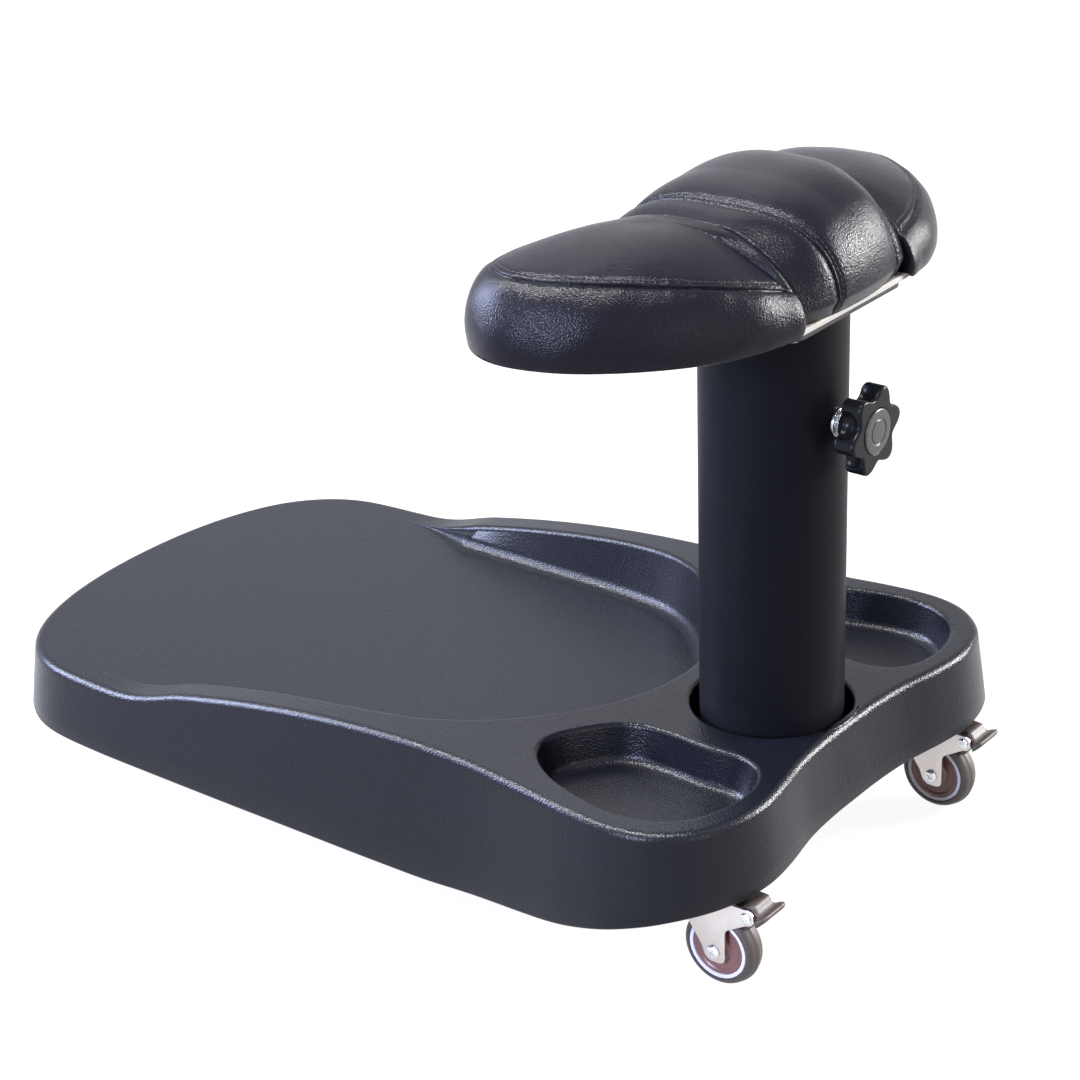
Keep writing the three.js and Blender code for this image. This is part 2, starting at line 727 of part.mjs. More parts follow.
// A wing: drawn in at the foot, full at the side, creased at its seam and crowned on top.
// Its inner end stands upright against the middle cushion and follows that cushion's side view.
function wing(side) {
  const tipShare = (y) => Math.min(Math.max(side * y - wing_root, 0) / wing_length, 1);
  const points = wing_points(side);
  const line = outline(side > 0 ? points : points.slice().reverse(), outline_steps).map((p) => (
    side * p.y < wing_root ? { ...p, y: side * wing_root } : p
  ));
  const crown = ({ x, y }) => wing_crown - wing_tip_drop * tipShare(y) ** 2
    - (1 - tipShare(y)) ** 4 * (wing_crown - end_crown) * (1 - smooth((x + cushion_front) / cushion_front));
  const seamHeight = (p) => {
    if (side * p.y < wing_root + gap) return end_crown * crestShare(p.x);
    const front = mix(0.35, 1, smooth((p.x + cushion_front / 2) / cushion_front));
    const behind = smooth((-cushion_front - p.x) / (wing_sweep - cushion_front));
    return wing_seam_height - wing_seam_dip * front * (1 - tipShare(p.y)) ** 2
      - wing_seam_fall * tipShare(p.y) ** 2 - wing_back_fall * behind;
  };
  const middle = { x: -cushion_crest_setback - wing_sweep / 8, y: side * (wing_root + wing_length / 2) };
  const ringAt = (inset, height) => line.map((p) => {
    const end = side * p.y < wing_root + gap;
    const share = inset / (cushion_front + cushion_crest_setback);
    const x = end ? mix(p.x, -cushion_crest_setback, share) : p.x - inset * p.nx;
    const y = end ? p.y : side * Math.max(side * (p.y - inset * p.ny), wing_root);
    return new THREE.Vector3(x, y, cushion_bottom + height({ x, y }));
  });
  const rings = [
    ringAt(cushion_foot_inset, () => 0),
    ringAt(cushion_foot_inset / 3, () => cushion_foot_height / 3),
    ringAt(0, () => cushion_foot_height),
    ringAt(wing_seam_inset / 4, (p) => mix(cushion_foot_height, seamHeight(p), 0.5)),
    ringAt(wing_seam_inset, seamHeight),
  ];
  const base = rings[rings.length - 1];
  for (const share of [0.15, 0.4, 0.7]) {
    rings.push(base.map((p) => {
      const [x, y] = [mix(p.x, middle.x, share), mix(p.y, middle.y, share)];
      return new THREE.Vector3(x, y, mix(p.z, cushion_bottom + crown({ x, y }), Math.sin(share * Math.PI / 2)));
    }));
  }
  return skin(rings);
}
add('cushion_left', wing(-1), leather);
add('cushion_right', wing(1), leather);

// Clamp: threaded insert in the column, pad against the post, stem and star knob
const insert_inner = column_radius - column_wall + gap;
const insert_face = column_radius + gap;
add('clamp_insert', across(lathe([
  [stem_radius + gap, insert_inner],
  [insert_radius, insert_inner],
  [insert_radius, insert_face],
  [insert_flange_radius, insert_face],
  [insert_flange_radius, insert_face + insert_flange_thickness],
  [stem_radius + gap, insert_face + insert_flange_thickness],
  [stem_radius + gap, insert_inner],
], wheel_facets), 0, knob_height), zinc);

const pad_start = post_radius + gap;
add('clamp_pad', across(cylinder(pad_radius, pad_start, pad_start + pad_length, wheel_facets / 2), 0, knob_height), nylon);

const knob_face = column_radius + knob_face_reach;
const knob_back = knob_face - knob_depth;
const hub_back = knob_back - knob_hub_length;
const stem_start = pad_start + pad_length + gap;
add('clamp_stem', across(
  cylinder(stem_radius, stem_start, hub_back + stem_bite, wheel_facets / 2),
  0,
  knob_height,
), zinc);

function starKnob() {
  const points = [];
  const facets = knob_lobes * 6;
  for (let i = 0; i < facets; i += 1) {
    const angle = i * 2 * Math.PI / facets;
    const radius = knob_radius - knob_bevel + knob_lobe * Math.cos(knob_lobes * angle);
    points.push(v2(radius * Math.cos(angle), radius * Math.sin(angle)));
  }
  const star = new THREE.ExtrudeGeometry(new THREE.Shape(points), {
    depth: knob_depth - 2 * knob_bevel,
    bevelThickness: knob_bevel,
    bevelSize: knob_bevel,
    bevelSegments: 2,
  });
  star.translate(0, 0, knob_back + knob_bevel);
  const hub = cylinder(knob_hub_radius, hub_back, knob_back + knob_bevel, wheel_facets);
  const bore = cylinder(stem_radius + gap, hub_back - overrun, hub_back + stem_bite + gap, wheel_facets / 2);
  const recess = cylinder(knob_cap_radius + gap, knob_face - knob_cap_recess, knob_face + overrun, wheel_facets);
  const scoops = Array.from({ length: knob_lobes }, (_, i) => {
    const angle = (i + 0.5) * 2 * Math.PI / knob_lobes;
    const scoop = new THREE.SphereGeometry(knob_scoop_radius, bolt_facets + 2, bolt_facets - 2);
    return solid(scoop.rotateX(Math.PI / 2).translate(
      knob_scoop_reach * Math.cos(angle),
      knob_scoop_reach * Math.sin(angle),
      knob_face - knob_scoop_depth,
    ));
  });
  const body = [solid(bore), solid(recess), ...scoops]
    .reduce((left, cut) => left.subtract(cut), solid(star).add(solid(hub)));
  return geometryOf(body).rotateZ(THREE.MathUtils.degToRad(knob_turn_degrees));
}
add('knob', across(starKnob(), 0, knob_height), gloss_black);

const cap_base = knob_face - knob_cap_recess + gap;
add('knob_cap', across(lathe([
  [0, cap_base],
  [knob_cap_radius, cap_base],
  [knob_cap_radius, cap_base + knob_cap_height / 2],
  [knob_cap_radius * 0.9, cap_base + knob_cap_height * 0.85],
  [knob_cap_radius * 0.5, cap_base + knob_cap_height],
  [0, cap_base + knob_cap_height],
], wheel_facets), 0, knob_height), gloss_black);

// Casters: each part is drawn round its own kingpin at x = 0, y = 0
const axle_x = axle_trail;
const pivot_x = axle_trail + brake_pivot_reach;
const pivot_z = axle_height + brake_pivot_rise;
const leg_outer = leg_gap + fork_sheet;
const sideways = (geometry) => geometry.rotateX(Math.PI / 2);

// A flat side view (x, z) given thickness along Y
function sideExtrusion(points, halfWidth) {
  const shape = new THREE.Shape(points.map(([x, z]) => v2(x, z)));
  const geometry = new THREE.ExtrudeGeometry(shape, { depth: 2 * halfWidth, bevelEnabled: false });
  return sideways(geometry).translate(0, halfWidth, 0);
}

const arc = (x, z, radius, from, to, steps) => Array.from({ length: steps + 1 }, (_, i) => {
  const angle = mix(from, to, i / steps);
  return [x + radius * Math.cos(angle), z + radius * Math.sin(angle)];
});
const crosswise = (radius, halfLength, x, z, facets = bolt_facets) => (
  sideways(cylinder(radius, -halfLength, halfLength, facets)).translate(x, 0, z)
);

// Pressed-steel fork: top disc, two legs with their front edges turned in, and arms for a brake
function fork(braked) {
  const lip = axle_x - 0.34 * wheel_radius;
  const back = axle_x + 0.31 * wheel_radius;
  const foot = axle_height - 0.27 * wheel_radius;
  const arm = braked
    ? [[back, axle_height + 0.52 * brake_pivot_rise],
      [back + 0.25 * brake_pivot_reach, axle_height + 0.66 * brake_pivot_rise],
      ...arc(pivot_x, pivot_z, brake_arm_radius, -Math.PI / 2, Math.PI / 2, 6)]
    : [[back, axle_height + 0.6 * brake_pivot_rise], [back, fork_top]];
  const side = [
    [-0.66 * wheel_radius, fork_top],
    [-0.3 * wheel_radius, fork_top - 0.42 * wheel_radius],
    [lip, axle_height + 0.1 * wheel_radius],
    [lip + 0.1 * wheel_radius, foot + 0.1 * wheel_radius],
    [axle_x - 0.1 * wheel_radius, foot],
    [back - 0.12 * wheel_radius, foot],
    [back, foot + 0.12 * wheel_radius],
    ...arm,
  ];
  const reach = pivot_x + brake_arm_radius + overrun;
  const turned_in = 1.7;
  const legs = [-1, 1].map((hand) => {
    const plan = new THREE.Shape([
      v2(reach, hand * leg_outer),
      v2(lip, hand * leg_outer),
      v2(-wheel_radius, hand * (leg_outer - turned_in * 1.6)),
      v2(-wheel_radius, hand * (leg_gap - turned_in * 1.6)),
      v2(lip, hand * leg_gap),
      v2(reach, hand * leg_gap),
    ]);
    return solid(plateGeometry(plan, 0, fork_top));
  });
  const sideCut = solid(sideExtrusion(side, leg_outer + overrun));
  const top_plan = new THREE.Shape();
  top_plan.moveTo(back, -leg_outer);
  top_plan.lineTo(back, leg_outer);
  top_plan.lineTo(0, race_radius);
  top_plan.absarc(0, 0, race_radius, Math.PI / 2, 1.5 * Math.PI, false);
  const top = solid(plateGeometry(top_plan, fork_top - fork_sheet, fork_top));
  const cuts = [
    solid(cylinder(kingpin_radius + gap, 0, fork_top + overrun, wheel_facets - 6)),
    solid(crosswise(axle_radius + gap, leg_outer + overrun, axle_x, axle_height, bolt_facets + 2)),
  ];
  if (braked) cuts.push(solid(crosswise(brake_pin_radius + gap, leg_outer + overrun, pivot_x, pivot_z, bolt_facets + 2)));
  return geometryOf(cuts.reduce((body, cut) => body.subtract(cut), joined(legs).intersect(sideCut).add(top)));
}

// Ball race with its kingpin, riveted through the top plate
const plate_bottom = caster_height - caster_plate_thickness;
const swivelRace = () => lathe([
  [0, fork_top - fork_sheet - gap - kingpin_head_height],
  [kingpin_head_radius, fork_top - fork_sheet - gap - kingpin_head_height],
  [kingpin_head_radius, fork_top - fork_sheet - gap],
  [kingpin_radius, fork_top - fork_sheet - gap],
  [kingpin_radius, fork_top + gap],
  [race_radius, fork_top + gap],
  [race_radius, mix(fork_top, plate_bottom, 0.35)],
  [race_waist, mix(fork_top, plate_bottom, 0.6)],
  [race_waist, plate_bottom + caster_plate_thickness / 2],
  [0, plate_bottom + caster_plate_thickness / 2],
], wheel_facets - 6);

// Top plate of a caster with its race, kingpin and four riveted studs, made up as one unit
function casterMount() {
  const shape = roundedRectangle(caster_plate_half, caster_plate_half, caster_plate_corner);
  const studs = bolt_corners.map(([i, j]) => solid(
    screw(
      caster_bolt_radius,
      caster_plate_thickness + frame_thickness,
      caster_bolt_head_radius,
      caster_bolt_head_height,
      bolt_facets - 2,
    ).translate(i * caster_bolt_offset, j * caster_bolt_offset, plate_bottom),
  ));
  return geometryOf(joined([
    solid(plateGeometry(shape, plate_bottom, caster_height, 4)),
    solid(swivelRace()),
    ...studs,
  ]));
}

const wheel = (points, facets = wheel_facets) => sideways(lathe(points, facets)).translate(axle_x, 0, axle_height);
const tyre = () => wheel([
  [tyre_bore_radius, -wheel_half_width],
  [wheel_radius - tyre_shoulder, -wheel_half_width],
  [wheel_radius - tread_crown, -wheel_half_width + tyre_shoulder / 2],
  [wheel_radius, 0],
  [wheel_radius - tread_crown, wheel_half_width - tyre_shoulder / 2],
  [wheel_radius - tyre_shoulder, wheel_half_width],
  [tyre_bore_radius, wheel_half_width],
  [tyre_bore_radius, -wheel_half_width],
]);
const core_outer = tyre_bore_radius - gap;
const core_inner = core_outer - core_thickness;
const wheelCore = () => wheel([
  [core_inner, -wheel_half_width + gap],
  [core_outer, -wheel_half_width + gap],
  [core_outer, wheel_half_width - gap],
  [core_inner, wheel_half_width - gap],
  [core_inner, -wheel_half_width + gap],
]);
const hub_outer = core_inner - gap;
const wheelHub = () => wheel([
  [hub_bore_radius, -wheel_half_width],
  [hub_boss_radius, -wheel_half_width],
  [hub_boss_radius + hub_dish, -wheel_half_width + hub_dish],
  [hub_outer, -wheel_half_width + hub_dish],
  [hub_outer, wheel_half_width - hub_dish],
  [hub_boss_radius + hub_dish, wheel_half_width - hub_dish],
  [hub_boss_radius, wheel_half_width],
  [hub_bore_radius, wheel_half_width],
  [hub_bore_radius, -wheel_half_width],
]);

// A bolt or rivet across the fork with a head on each side
const crossBolt = (radius, headRadius, headHeight, x, z) => {
  const out = leg_outer + gap;
  return sideways(lathe([
    [0, -out - headHeight],
    [headRadius * 0.8, -out - headHeight],
    [headRadius, -out - headHeight / 2],
    [headRadius, -out],
    [radius, -out],
    [radius, out],
    [headRadius, out],
    [headRadius, out + headHeight / 2],
    [headRadius * 0.8, out + headHeight],
    [0, out + headHeight],
  ], bolt_facets + 2)).translate(x, 0, z);
};

// Brake pedal: a hub on the pivot pin, a shoe that meets the tread, a hump and a dished foot pad
function pedal() {
  const hub = crosswise(brake_arm_radius + 1, pedal_neck_half_width, pivot_x, pivot_z, wheel_facets - 6);
  const toAxle = Math.atan2(axle_height - pivot_z, axle_x - pivot_x);
  const lead = toAxle + THREE.MathUtils.degToRad(shoe_lead_degrees);
  const at = (angle, radius) => [pivot_x + radius * Math.cos(angle), pivot_z + radius * Math.sin(angle)];
  const shoe = [at(lead - 0.32, 0), at(lead - 0.3, shoe_reach - 1.5), at(lead, shoe_reach), at(lead + 0.3, shoe_reach - 1)];
  const tip = pedal_reach;
  const run = tip - pivot_x;
  const hump = [
    [pivot_x - brake_arm_radius, pivot_z],
    [pivot_x - 0.1 * run, pivot_z - 1],
    [pivot_x + 0.32 * run, pivot_z - pedal_sheet],
    [pivot_x + 0.62 * run, pivot_z - 0.9 * pedal_sheet],
    [tip - 0.06 * run, pivot_z + 0.3 * pedal_sheet],
    [tip, pivot_z + pedal_sheet],
    [tip - 0.1 * run, pivot_z + 1.5 * pedal_sheet],
    [pivot_x + 0.66 * run, pivot_z + 0.6 * pedal_sheet],
    [pivot_x + 0.45 * run, pivot_z + pedal_sheet],
    [pivot_x + 0.25 * run, pivot_z + pedal_hump],
    [pivot_x - 0.1 * run, pivot_z + pedal_hump],
    [pivot_x - brake_arm_radius, pivot_z + 0.55 * pedal_hump],
  ];
  const neck = pedal_neck_half_width;
  const wide = pedal_half_width;
  const past_arm = pivot_x + brake_arm_radius + 1;
  const plan = new THREE.Shape([
    v2(pivot_x - 2 * brake_arm_radius, -neck), v2(past_arm, -neck), v2(past_arm + 0.12 * run, -0.9 * wide),
    v2(tip - 0.35 * run, -wide), v2(tip - 0.08 * run, -0.75 * wide), v2(tip + 1, -0.3 * wide),
    v2(tip + 1, 0.3 * wide), v2(tip - 0.08 * run, 0.75 * wide), v2(tip - 0.35 * run, wide),
    v2(past_arm + 0.12 * run, 0.9 * wide), v2(past_arm, neck), v2(pivot_x - 2 * brake_arm_radius, neck),
  ]);
  const pad = solid(sideExtrusion(hump, pedal_half_width + 1))
    .intersect(solid(plateGeometry(plan, pivot_z - overrun, pivot_z + overrun)));
  const body = joined([pad, solid(hub), solid(sideExtrusion(shoe, shoe_half_width))]);
  return geometryOf(body.subtract(solid(crosswise(brake_pin_radius + gap, leg_outer + overrun, pivot_x, pivot_z, bolt_facets + 2))));
}

for (const caster of caster_places) {
  const place = new THREE.Group();
  place.position.set(caster.x, caster.y, 0);
  product.add(place);
  add(`${caster.name}_mount`, casterMount(), zinc, place);
  add(`${caster.name}_fork`, fork(caster.braked), stainless, place);
  add(`${caster.name}_axle`, crossBolt(axle_radius, axle_head_radius, axle_head_height, axle_x, axle_height), zinc, place);
  add(`${caster.name}_tyre`, tyre(), grey_rubber, place);
  add(`${caster.name}_core`, wheelCore(), pale_core, place);
  add(`${caster.name}_hub`, wheelHub(), brown_plastic, place);
  if (caster.braked) {
    add(`${caster.name}_brake_pin`, crossBolt(
      brake_pin_radius,
      brake_pin_head_radius,
      brake_pin_head_height,
      pivot_x,
      pivot_z,
    ), zinc, place);
    add(`${caster.name}_pedal`, pedal(), dark_brown, place);
  }
}

export default group;
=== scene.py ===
# %% [markdown]
# A rolling pedicure footrest, dressed for a studio picture. The imported solids give every place and size,
# and this script gives each visible surface its finish. Lengths are in metres, +Z is up, and the column
# stands at the +X end. The dressed object may not outgrow it.

import math

import bmesh
import bpy
import numpy as np
from mathutils import Matrix, Vector, geometry


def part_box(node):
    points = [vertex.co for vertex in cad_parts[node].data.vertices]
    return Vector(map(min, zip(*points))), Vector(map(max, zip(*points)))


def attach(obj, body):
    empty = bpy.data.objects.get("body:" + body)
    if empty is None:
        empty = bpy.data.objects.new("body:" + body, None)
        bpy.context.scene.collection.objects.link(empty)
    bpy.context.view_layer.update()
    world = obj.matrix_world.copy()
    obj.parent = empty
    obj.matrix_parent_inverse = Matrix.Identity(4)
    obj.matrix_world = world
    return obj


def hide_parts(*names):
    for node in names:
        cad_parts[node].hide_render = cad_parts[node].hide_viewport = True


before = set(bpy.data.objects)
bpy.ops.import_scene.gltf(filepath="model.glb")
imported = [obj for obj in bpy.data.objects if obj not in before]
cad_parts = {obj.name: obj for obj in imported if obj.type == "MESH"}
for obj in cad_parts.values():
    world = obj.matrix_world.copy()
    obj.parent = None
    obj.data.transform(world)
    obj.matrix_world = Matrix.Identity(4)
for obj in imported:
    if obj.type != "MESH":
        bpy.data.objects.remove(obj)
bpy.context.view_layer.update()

# %% [markdown]
# The column is the datum of the whole piece. Its axis and the places of the casters are read from the
# solids, so that nothing here has to be fitted by eye.

# %% Places taken from the solids
def middle(node):
    low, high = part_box(node)
    return (low + high) / 2


column_x = middle("outer_column").x
casters = ["column_left", "column_right", "spa_left", "spa_right"]
braked = ["column_left", "column_right"]
kingpin = {c: Vector((middle(c + "_mount").x, middle(c + "_mount").y, 0.0)) for c in casters}
print("column axis at", round(column_x, 4),
      "kingpins", {c: [round(v, 3) for v in kingpin[c][:2]] for c in casters})

# %% [markdown]
# The camera stands to the front right of the column end and looks slightly down, as the photographer did.
# A matrix built from the viewing direction, with a small roll, places it without any constraint.

# %% Camera
view_azimuth, view_elevation, view_roll = math.radians(37.7607), math.radians(24.7112), math.radians(-1.8657)
camera_place = Vector((column_x + 1.0645, -1.6559, 1.1874))
forward = Vector((-math.sin(view_azimuth) * math.cos(view_elevation),
                  math.cos(view_azimuth) * math.cos(view_elevation), -math.sin(view_elevation)))
level = Vector((math.cos(view_azimuth), math.sin(view_azimuth), 0.0))
upward = level.cross(forward)
to_right = level * math.cos(view_roll) + upward * math.sin(view_roll)
to_top = upward * math.cos(view_roll) - level * math.sin(view_roll)

camera = bpy.data.objects.new("camera", bpy.data.cameras.new("camera"))
camera.data.lens = 97.036
camera.data.sensor_width = 36.0
turn = Matrix((to_right, to_top, -forward)).transposed()
camera.matrix_world = Matrix.Translation(camera_place) @ turn.to_4x4()
bpy.context.scene.collection.objects.link(camera)
bpy.context.scene.camera = camera
print("camera distance", round((camera_place - Vector((column_x, 0, 0.3))).length, 3))

# %% [markdown]
# A dark, satin object is drawn by what it mirrors. Large soft lamps stand where the photograph's broad
# highlights point back to: behind, at both sides and in front. A long narrow lamp overhead draws the
# bright line along the tray's rounded edges. The world and the floor are plain white to the camera, and
# the floor still takes a shadow, because part of what the camera sees of it is ordinary diffuse paint. It
# throws less light back at the object than it shows, so that the dark skirt stays dark.

# %% Studio
def area_lamp(name, place, target, width, height, power, colour=(1.0, 1.0, 1.0)):
    lamp = bpy.data.objects.new(name, bpy.data.lights.new(name, "AREA"))
    lamp.data.shape = "RECTANGLE"
    lamp.data.size, lamp.data.size_y = width, height
    lamp.data.energy = power
    lamp.data.color = colour
    lamp.location = place
    lamp.rotation_euler = (Vector(target) - Vector(place)).to_track_quat("-Z", "Y").to_euler()
    bpy.context.scene.collection.objects.link(lamp)
    return lamp


aim = (column_x - 0.2, 0.0, 0.3)
cushion_aim = (column_x, 0.0, 0.5)
area_lamp("back_lamp", (column_x - 1.8, 2.7, 0.85), aim, 3.0, 1.1, 2.5, (0.55, 0.65, 1.0))
area_lamp("overhead_lamp", (column_x - 1.2, 1.2, 2.0), cushion_aim, 0.9, 0.6, 7.0)
area_lamp("edge_lamp", (column_x - 0.95, -0.62, 2.2), (column_x - 0.95, -0.25, 0.1), 2.9, 0.18, 190.0)
area_lamp("right_lamp", (column_x + 1.28, 1.74, 0.96), cushion_aim, 0.7, 0.9, 135.0)
area_lamp("left_lamp", (column_x - 1.9, -0.80, 1.02), cushion_aim, 0.8, 0.8, 125.0, (0.60, 0.68, 1.0))
area_lamp("near_lamp", (column_x - 0.05, -2.3, 1.02), cushion_aim, 0.55, 0.75, 84.0, (0.60, 0.68, 1.0))
area_lamp("front_lamp", (column_x + 1.9, -0.75, 0.65), cushion_aim, 0.7, 0.9, 8.0)


def seen(tree):
    """One where a camera, glossy or transmission ray looks, zero for the diffuse light on the object."""
    path = tree.nodes.new("ShaderNodeLightPath")
    total = None
    for ray in ("Is Camera Ray", "Is Glossy Ray", "Is Transmission Ray"):
        if total is None:
            total = path.outputs[ray]
            continue
        add = tree.nodes.new("ShaderNodeMath")
        add.operation, add.use_clamp = "ADD", True
        tree.links.new(total, add.inputs[0])
        tree.links.new(path.outputs[ray], add.inputs[1])
        total = add.outputs[0]
    return total


world = bpy.data.worlds.new("studio")
world.use_nodes = True
world_tree = world.node_tree
world_light = world_tree.nodes["Background"]
world_light.inputs["Color"].default_value = (0.78, 0.81, 1.0, 1.0)
world_light.inputs["Strength"].default_value = 0.16
world_white = world_tree.nodes.new("ShaderNodeBackground")
world_white.inputs["Color"].default_value = (1.0, 1.0, 1.0, 1.0)
world_white.inputs["Strength"].default_value = 1.02
world_mix = world_tree.nodes.new("ShaderNodeMixShader")
world_tree.links.new(seen(world_tree), world_mix.inputs[0])
world_tree.links.new(world_light.outputs[0], world_mix.inputs[1])
world_tree.links.new(world_white.outputs[0], world_mix.inputs[2])
world_tree.links.new(world_mix.outputs[0], world_tree.nodes["World Output"].inputs["Surface"])
bpy.context.scene.world = world
bpy.context.scene.view_settings.view_transform = "Standard"

floor_size, floor_shadow_share = 12.0, 0.12
floor_mesh = bpy.data.meshes.new("studio_floor")
corner = floor_size / 2
floor_mesh.from_pydata([(-corner, -corner, 0), (corner, -corner, 0),
                        (corner, corner, 0), (-corner, corner, 0)],
                       [], [(0, 1, 2, 3)])
floor = bpy.data.objects.new("studio_floor", floor_mesh)
bpy.context.scene.collection.objects.link(floor)
floor_paint = bpy.data.materials.new("studio_floor")
floor_paint.use_nodes = True
floor_tree = floor_paint.node_tree
floor_tree.nodes.remove(floor_tree.nodes["Principled BSDF"])
floor_pale, floor_dim = (floor_tree.nodes.new("ShaderNodeBsdfDiffuse") for _ in range(2))
floor_pale.inputs["Color"].default_value = (0.9, 0.9, 0.9, 1.0)
floor_dim.inputs["Color"].default_value = (0.14, 0.14, 0.15, 1.0)
floor_white = floor_tree.nodes.new("ShaderNodeEmission")
floor_white.inputs["Strength"].default_value = 1.06
floor_shown, floor_mix = (floor_tree.nodes.new("ShaderNodeMixShader") for _ in range(2))
floor_shown.inputs[0].default_value = 1.0 - floor_shadow_share
floor_tree.links.new(floor_pale.outputs[0], floor_shown.inputs[1])
floor_tree.links.new(floor_white.outputs[0], floor_shown.inputs[2])
floor_tree.links.new(seen(floor_tree), floor_mix.inputs[0])
floor_tree.links.new(floor_dim.outputs[0], floor_mix.inputs[1])
floor_tree.links.new(floor_shown.outputs[0], floor_mix.inputs[2])
floor_tree.links.new(floor_mix.outputs[0], floor_tree.nodes["Material Output"].inputs["Surface"])
floor_mesh.materials.append(floor_paint)

# %% [markdown]
# Every finish starts from the same shader. Numbers that are alike all over a surface are set on its
# sockets, and only what varies, such as grain, wear or brushing, comes through nodes. The patterns read
# Object coordinates, which are metres here, so a scale of 700 is a grain of about 1.4 mm.

# %% Shader helpers
def finish(name, colour, roughness, metallic=0.0, specular=0.5, coat=0.0, coat_roughness=0.15):
    material = bpy.data.materials.new(name)
    material.use_nodes = True
    shader = material.node_tree.nodes["Principled BSDF"]
    shader.inputs["Base Color"].default_value = (*colour, 1.0)
    shader.inputs["Roughness"].default_value = roughness
    shader.inputs["Metallic"].default_value = metallic
    shader.inputs["Specular IOR Level"].default_value = specular
    shader.inputs["Coat Weight"].default_value = coat
    shader.inputs["Coat Roughness"].default_value = coat_roughness
    return material


def texture(material, kind, scale, stretch=(1.0, 1.0, 1.0), **settings):
    """A procedural texture on Object coordinates, which may be stretched along an axis."""
    tree = material.node_tree
    place = tree.nodes.new("ShaderNodeTexCoord")
    mapping = tree.nodes.new("ShaderNodeMapping")
    mapping.inputs["Scale"].default_value = stretch
    node = tree.nodes.new(kind)
    node.inputs["Scale"].default_value = scale
    for key, value in settings.items():
        socket = key.replace("_", " ").title()
        if socket in node.inputs:
            node.inputs[socket].default_value = value
        else:
            setattr(node, key, value)
    tree.links.new(place.outputs["Object"], mapping.inputs["Vector"])
    tree.links.new(mapping.outputs["Vector"], node.inputs["Vector"])
    return node.outputs[0]


def spread(material, value, low, high, from_low=0.0, from_high=1.0):
    """The texture's value moved to the range that a socket needs."""
    tree = material.node_tree
    node = tree.nodes.new("ShaderNodeMapRange")
    node.inputs["From Min"].default_value = from_low
    node.inputs["From Max"].default_value = from_high
    node.inputs["To Min"].default_value = low
    node.inputs["To Max"].default_value = high
    tree.links.new(value, node.inputs["Value"])
    return node.outputs["Result"]


def plus(material, first, second, share):
    """first + share * second."""
    tree = material.node_tree
    node = tree.nodes.new("ShaderNodeMath")
    node.operation = "MULTIPLY_ADD"
    node.inputs[1].default_value = share
    tree.links.new(second, node.inputs[0])
    tree.links.new(first, node.inputs[2])
    return node.outputs[0]


def two_tone(material, value, dark, light):
    """Base colour between two tones, led by a texture."""
    tree = material.node_tree
    ramp = tree.nodes.new("ShaderNodeValToRGB")
    ramp.color_ramp.elements[0].color = (*dark, 1.0)
    ramp.color_ramp.elements[1].color = (*light, 1.0)
    tree.links.new(value, ramp.inputs["Fac"])
    tree.links.new(ramp.outputs["Color"], tree.nodes["Principled BSDF"].inputs["Base Color"])


def varied_roughness(material, value, low, high):
    tree = material.node_tree
    tree.links.new(spread(material, value, low, high), tree.nodes["Principled BSDF"].inputs["Roughness"])


def relief(material, height, depth, strength=1.0):
    """A bump as deep as depth, in metres."""
    tree = material.node_tree
    node = tree.nodes.new("ShaderNodeBump")
    node.inputs["Distance"].default_value = depth
    node.inputs["Strength"].default_value = strength
    tree.links.new(height, node.inputs["Height"])
    tree.links.new(node.outputs["Normal"], tree.nodes["Principled BSDF"].inputs["Normal"])


# %% [markdown]
# The tray is a vacuum-formed or moulded black sheet with a fine leather grain pressed into it. Small
# rounded cells make the grain, and a slower noise makes it uneven, which gives the broken sparkle that
# runs along the rounded edges.

# %% Grained moulding
def grained_moulding():
    material = finish("grained_moulding", (0.004, 0.005, 0.008), 0.30, specular=0.20)
    cells = texture(material, "ShaderNodeTexVoronoi", 720.0, feature="SMOOTH_F1", smoothness=0.35)
    uneven = texture(material, "ShaderNodeTexNoise", 430.0, detail=4.0, roughness=0.6)
    relief(material, plus(material, cells, uneven, 0.35), 0.00021, 1.0)
    two_tone(material, uneven, (0.0028, 0.0031, 0.0054), (0.0046, 0.0050, 0.0085))
    varied_roughness(material, texture(material, "ShaderNodeTexNoise", 60.0, detail=3.0), 0.25, 0.33)
    return material


# %% [markdown]
# Powder coat is a matt black paint with a very fine orange-peel skin. The plated steel of the casters is
# brighter and faintly brushed. Zinc screws are cooler and mottled. Each gets its own short function.

# %% Paint and metal
def powder_coat():
    material = finish("powder_coat", (0.012, 0.012, 0.014), 0.5, specular=0.3)
    peel = texture(material, "ShaderNodeTexNoise", 900.0, detail=2.0)
    relief(material, peel, 0.00006, 0.6)
    varied_roughness(material, texture(material, "ShaderNodeTexNoise", 40.0, detail=3.0), 0.44, 0.56)
    return material


def bright_zinc():
    material = finish("bright_zinc", (0.70, 0.72, 0.74), 0.25, metallic=1.0)
    spangle = texture(material, "ShaderNodeTexNoise", 700.0, detail=3.0)
    two_tone(material, spangle, (0.58, 0.60, 0.63), (0.80, 0.82, 0.84))
    varied_roughness(material, spangle, 0.18, 0.34)
    relief(material, spangle, 0.00003, 0.5)
    return material


def plated_sheet():
    material = finish("plated_sheet", (0.62, 0.58, 0.57), 0.34, metallic=1.0)
    brushing = texture(material, "ShaderNodeTexNoise", 260.0, stretch=(1.0, 1.0, 9.0), detail=4.0)
    two_tone(material, brushing, (0.52, 0.48, 0.47), (0.70, 0.66, 0.65))
    varied_roughness(material, brushing, 0.26, 0.42)
    relief(material, brushing, 0.00004, 0.4)
    return material


moulding = grained_moulding()
coat = powder_coat()
zinc = bright_zinc()
sheet_steel = plated_sheet()

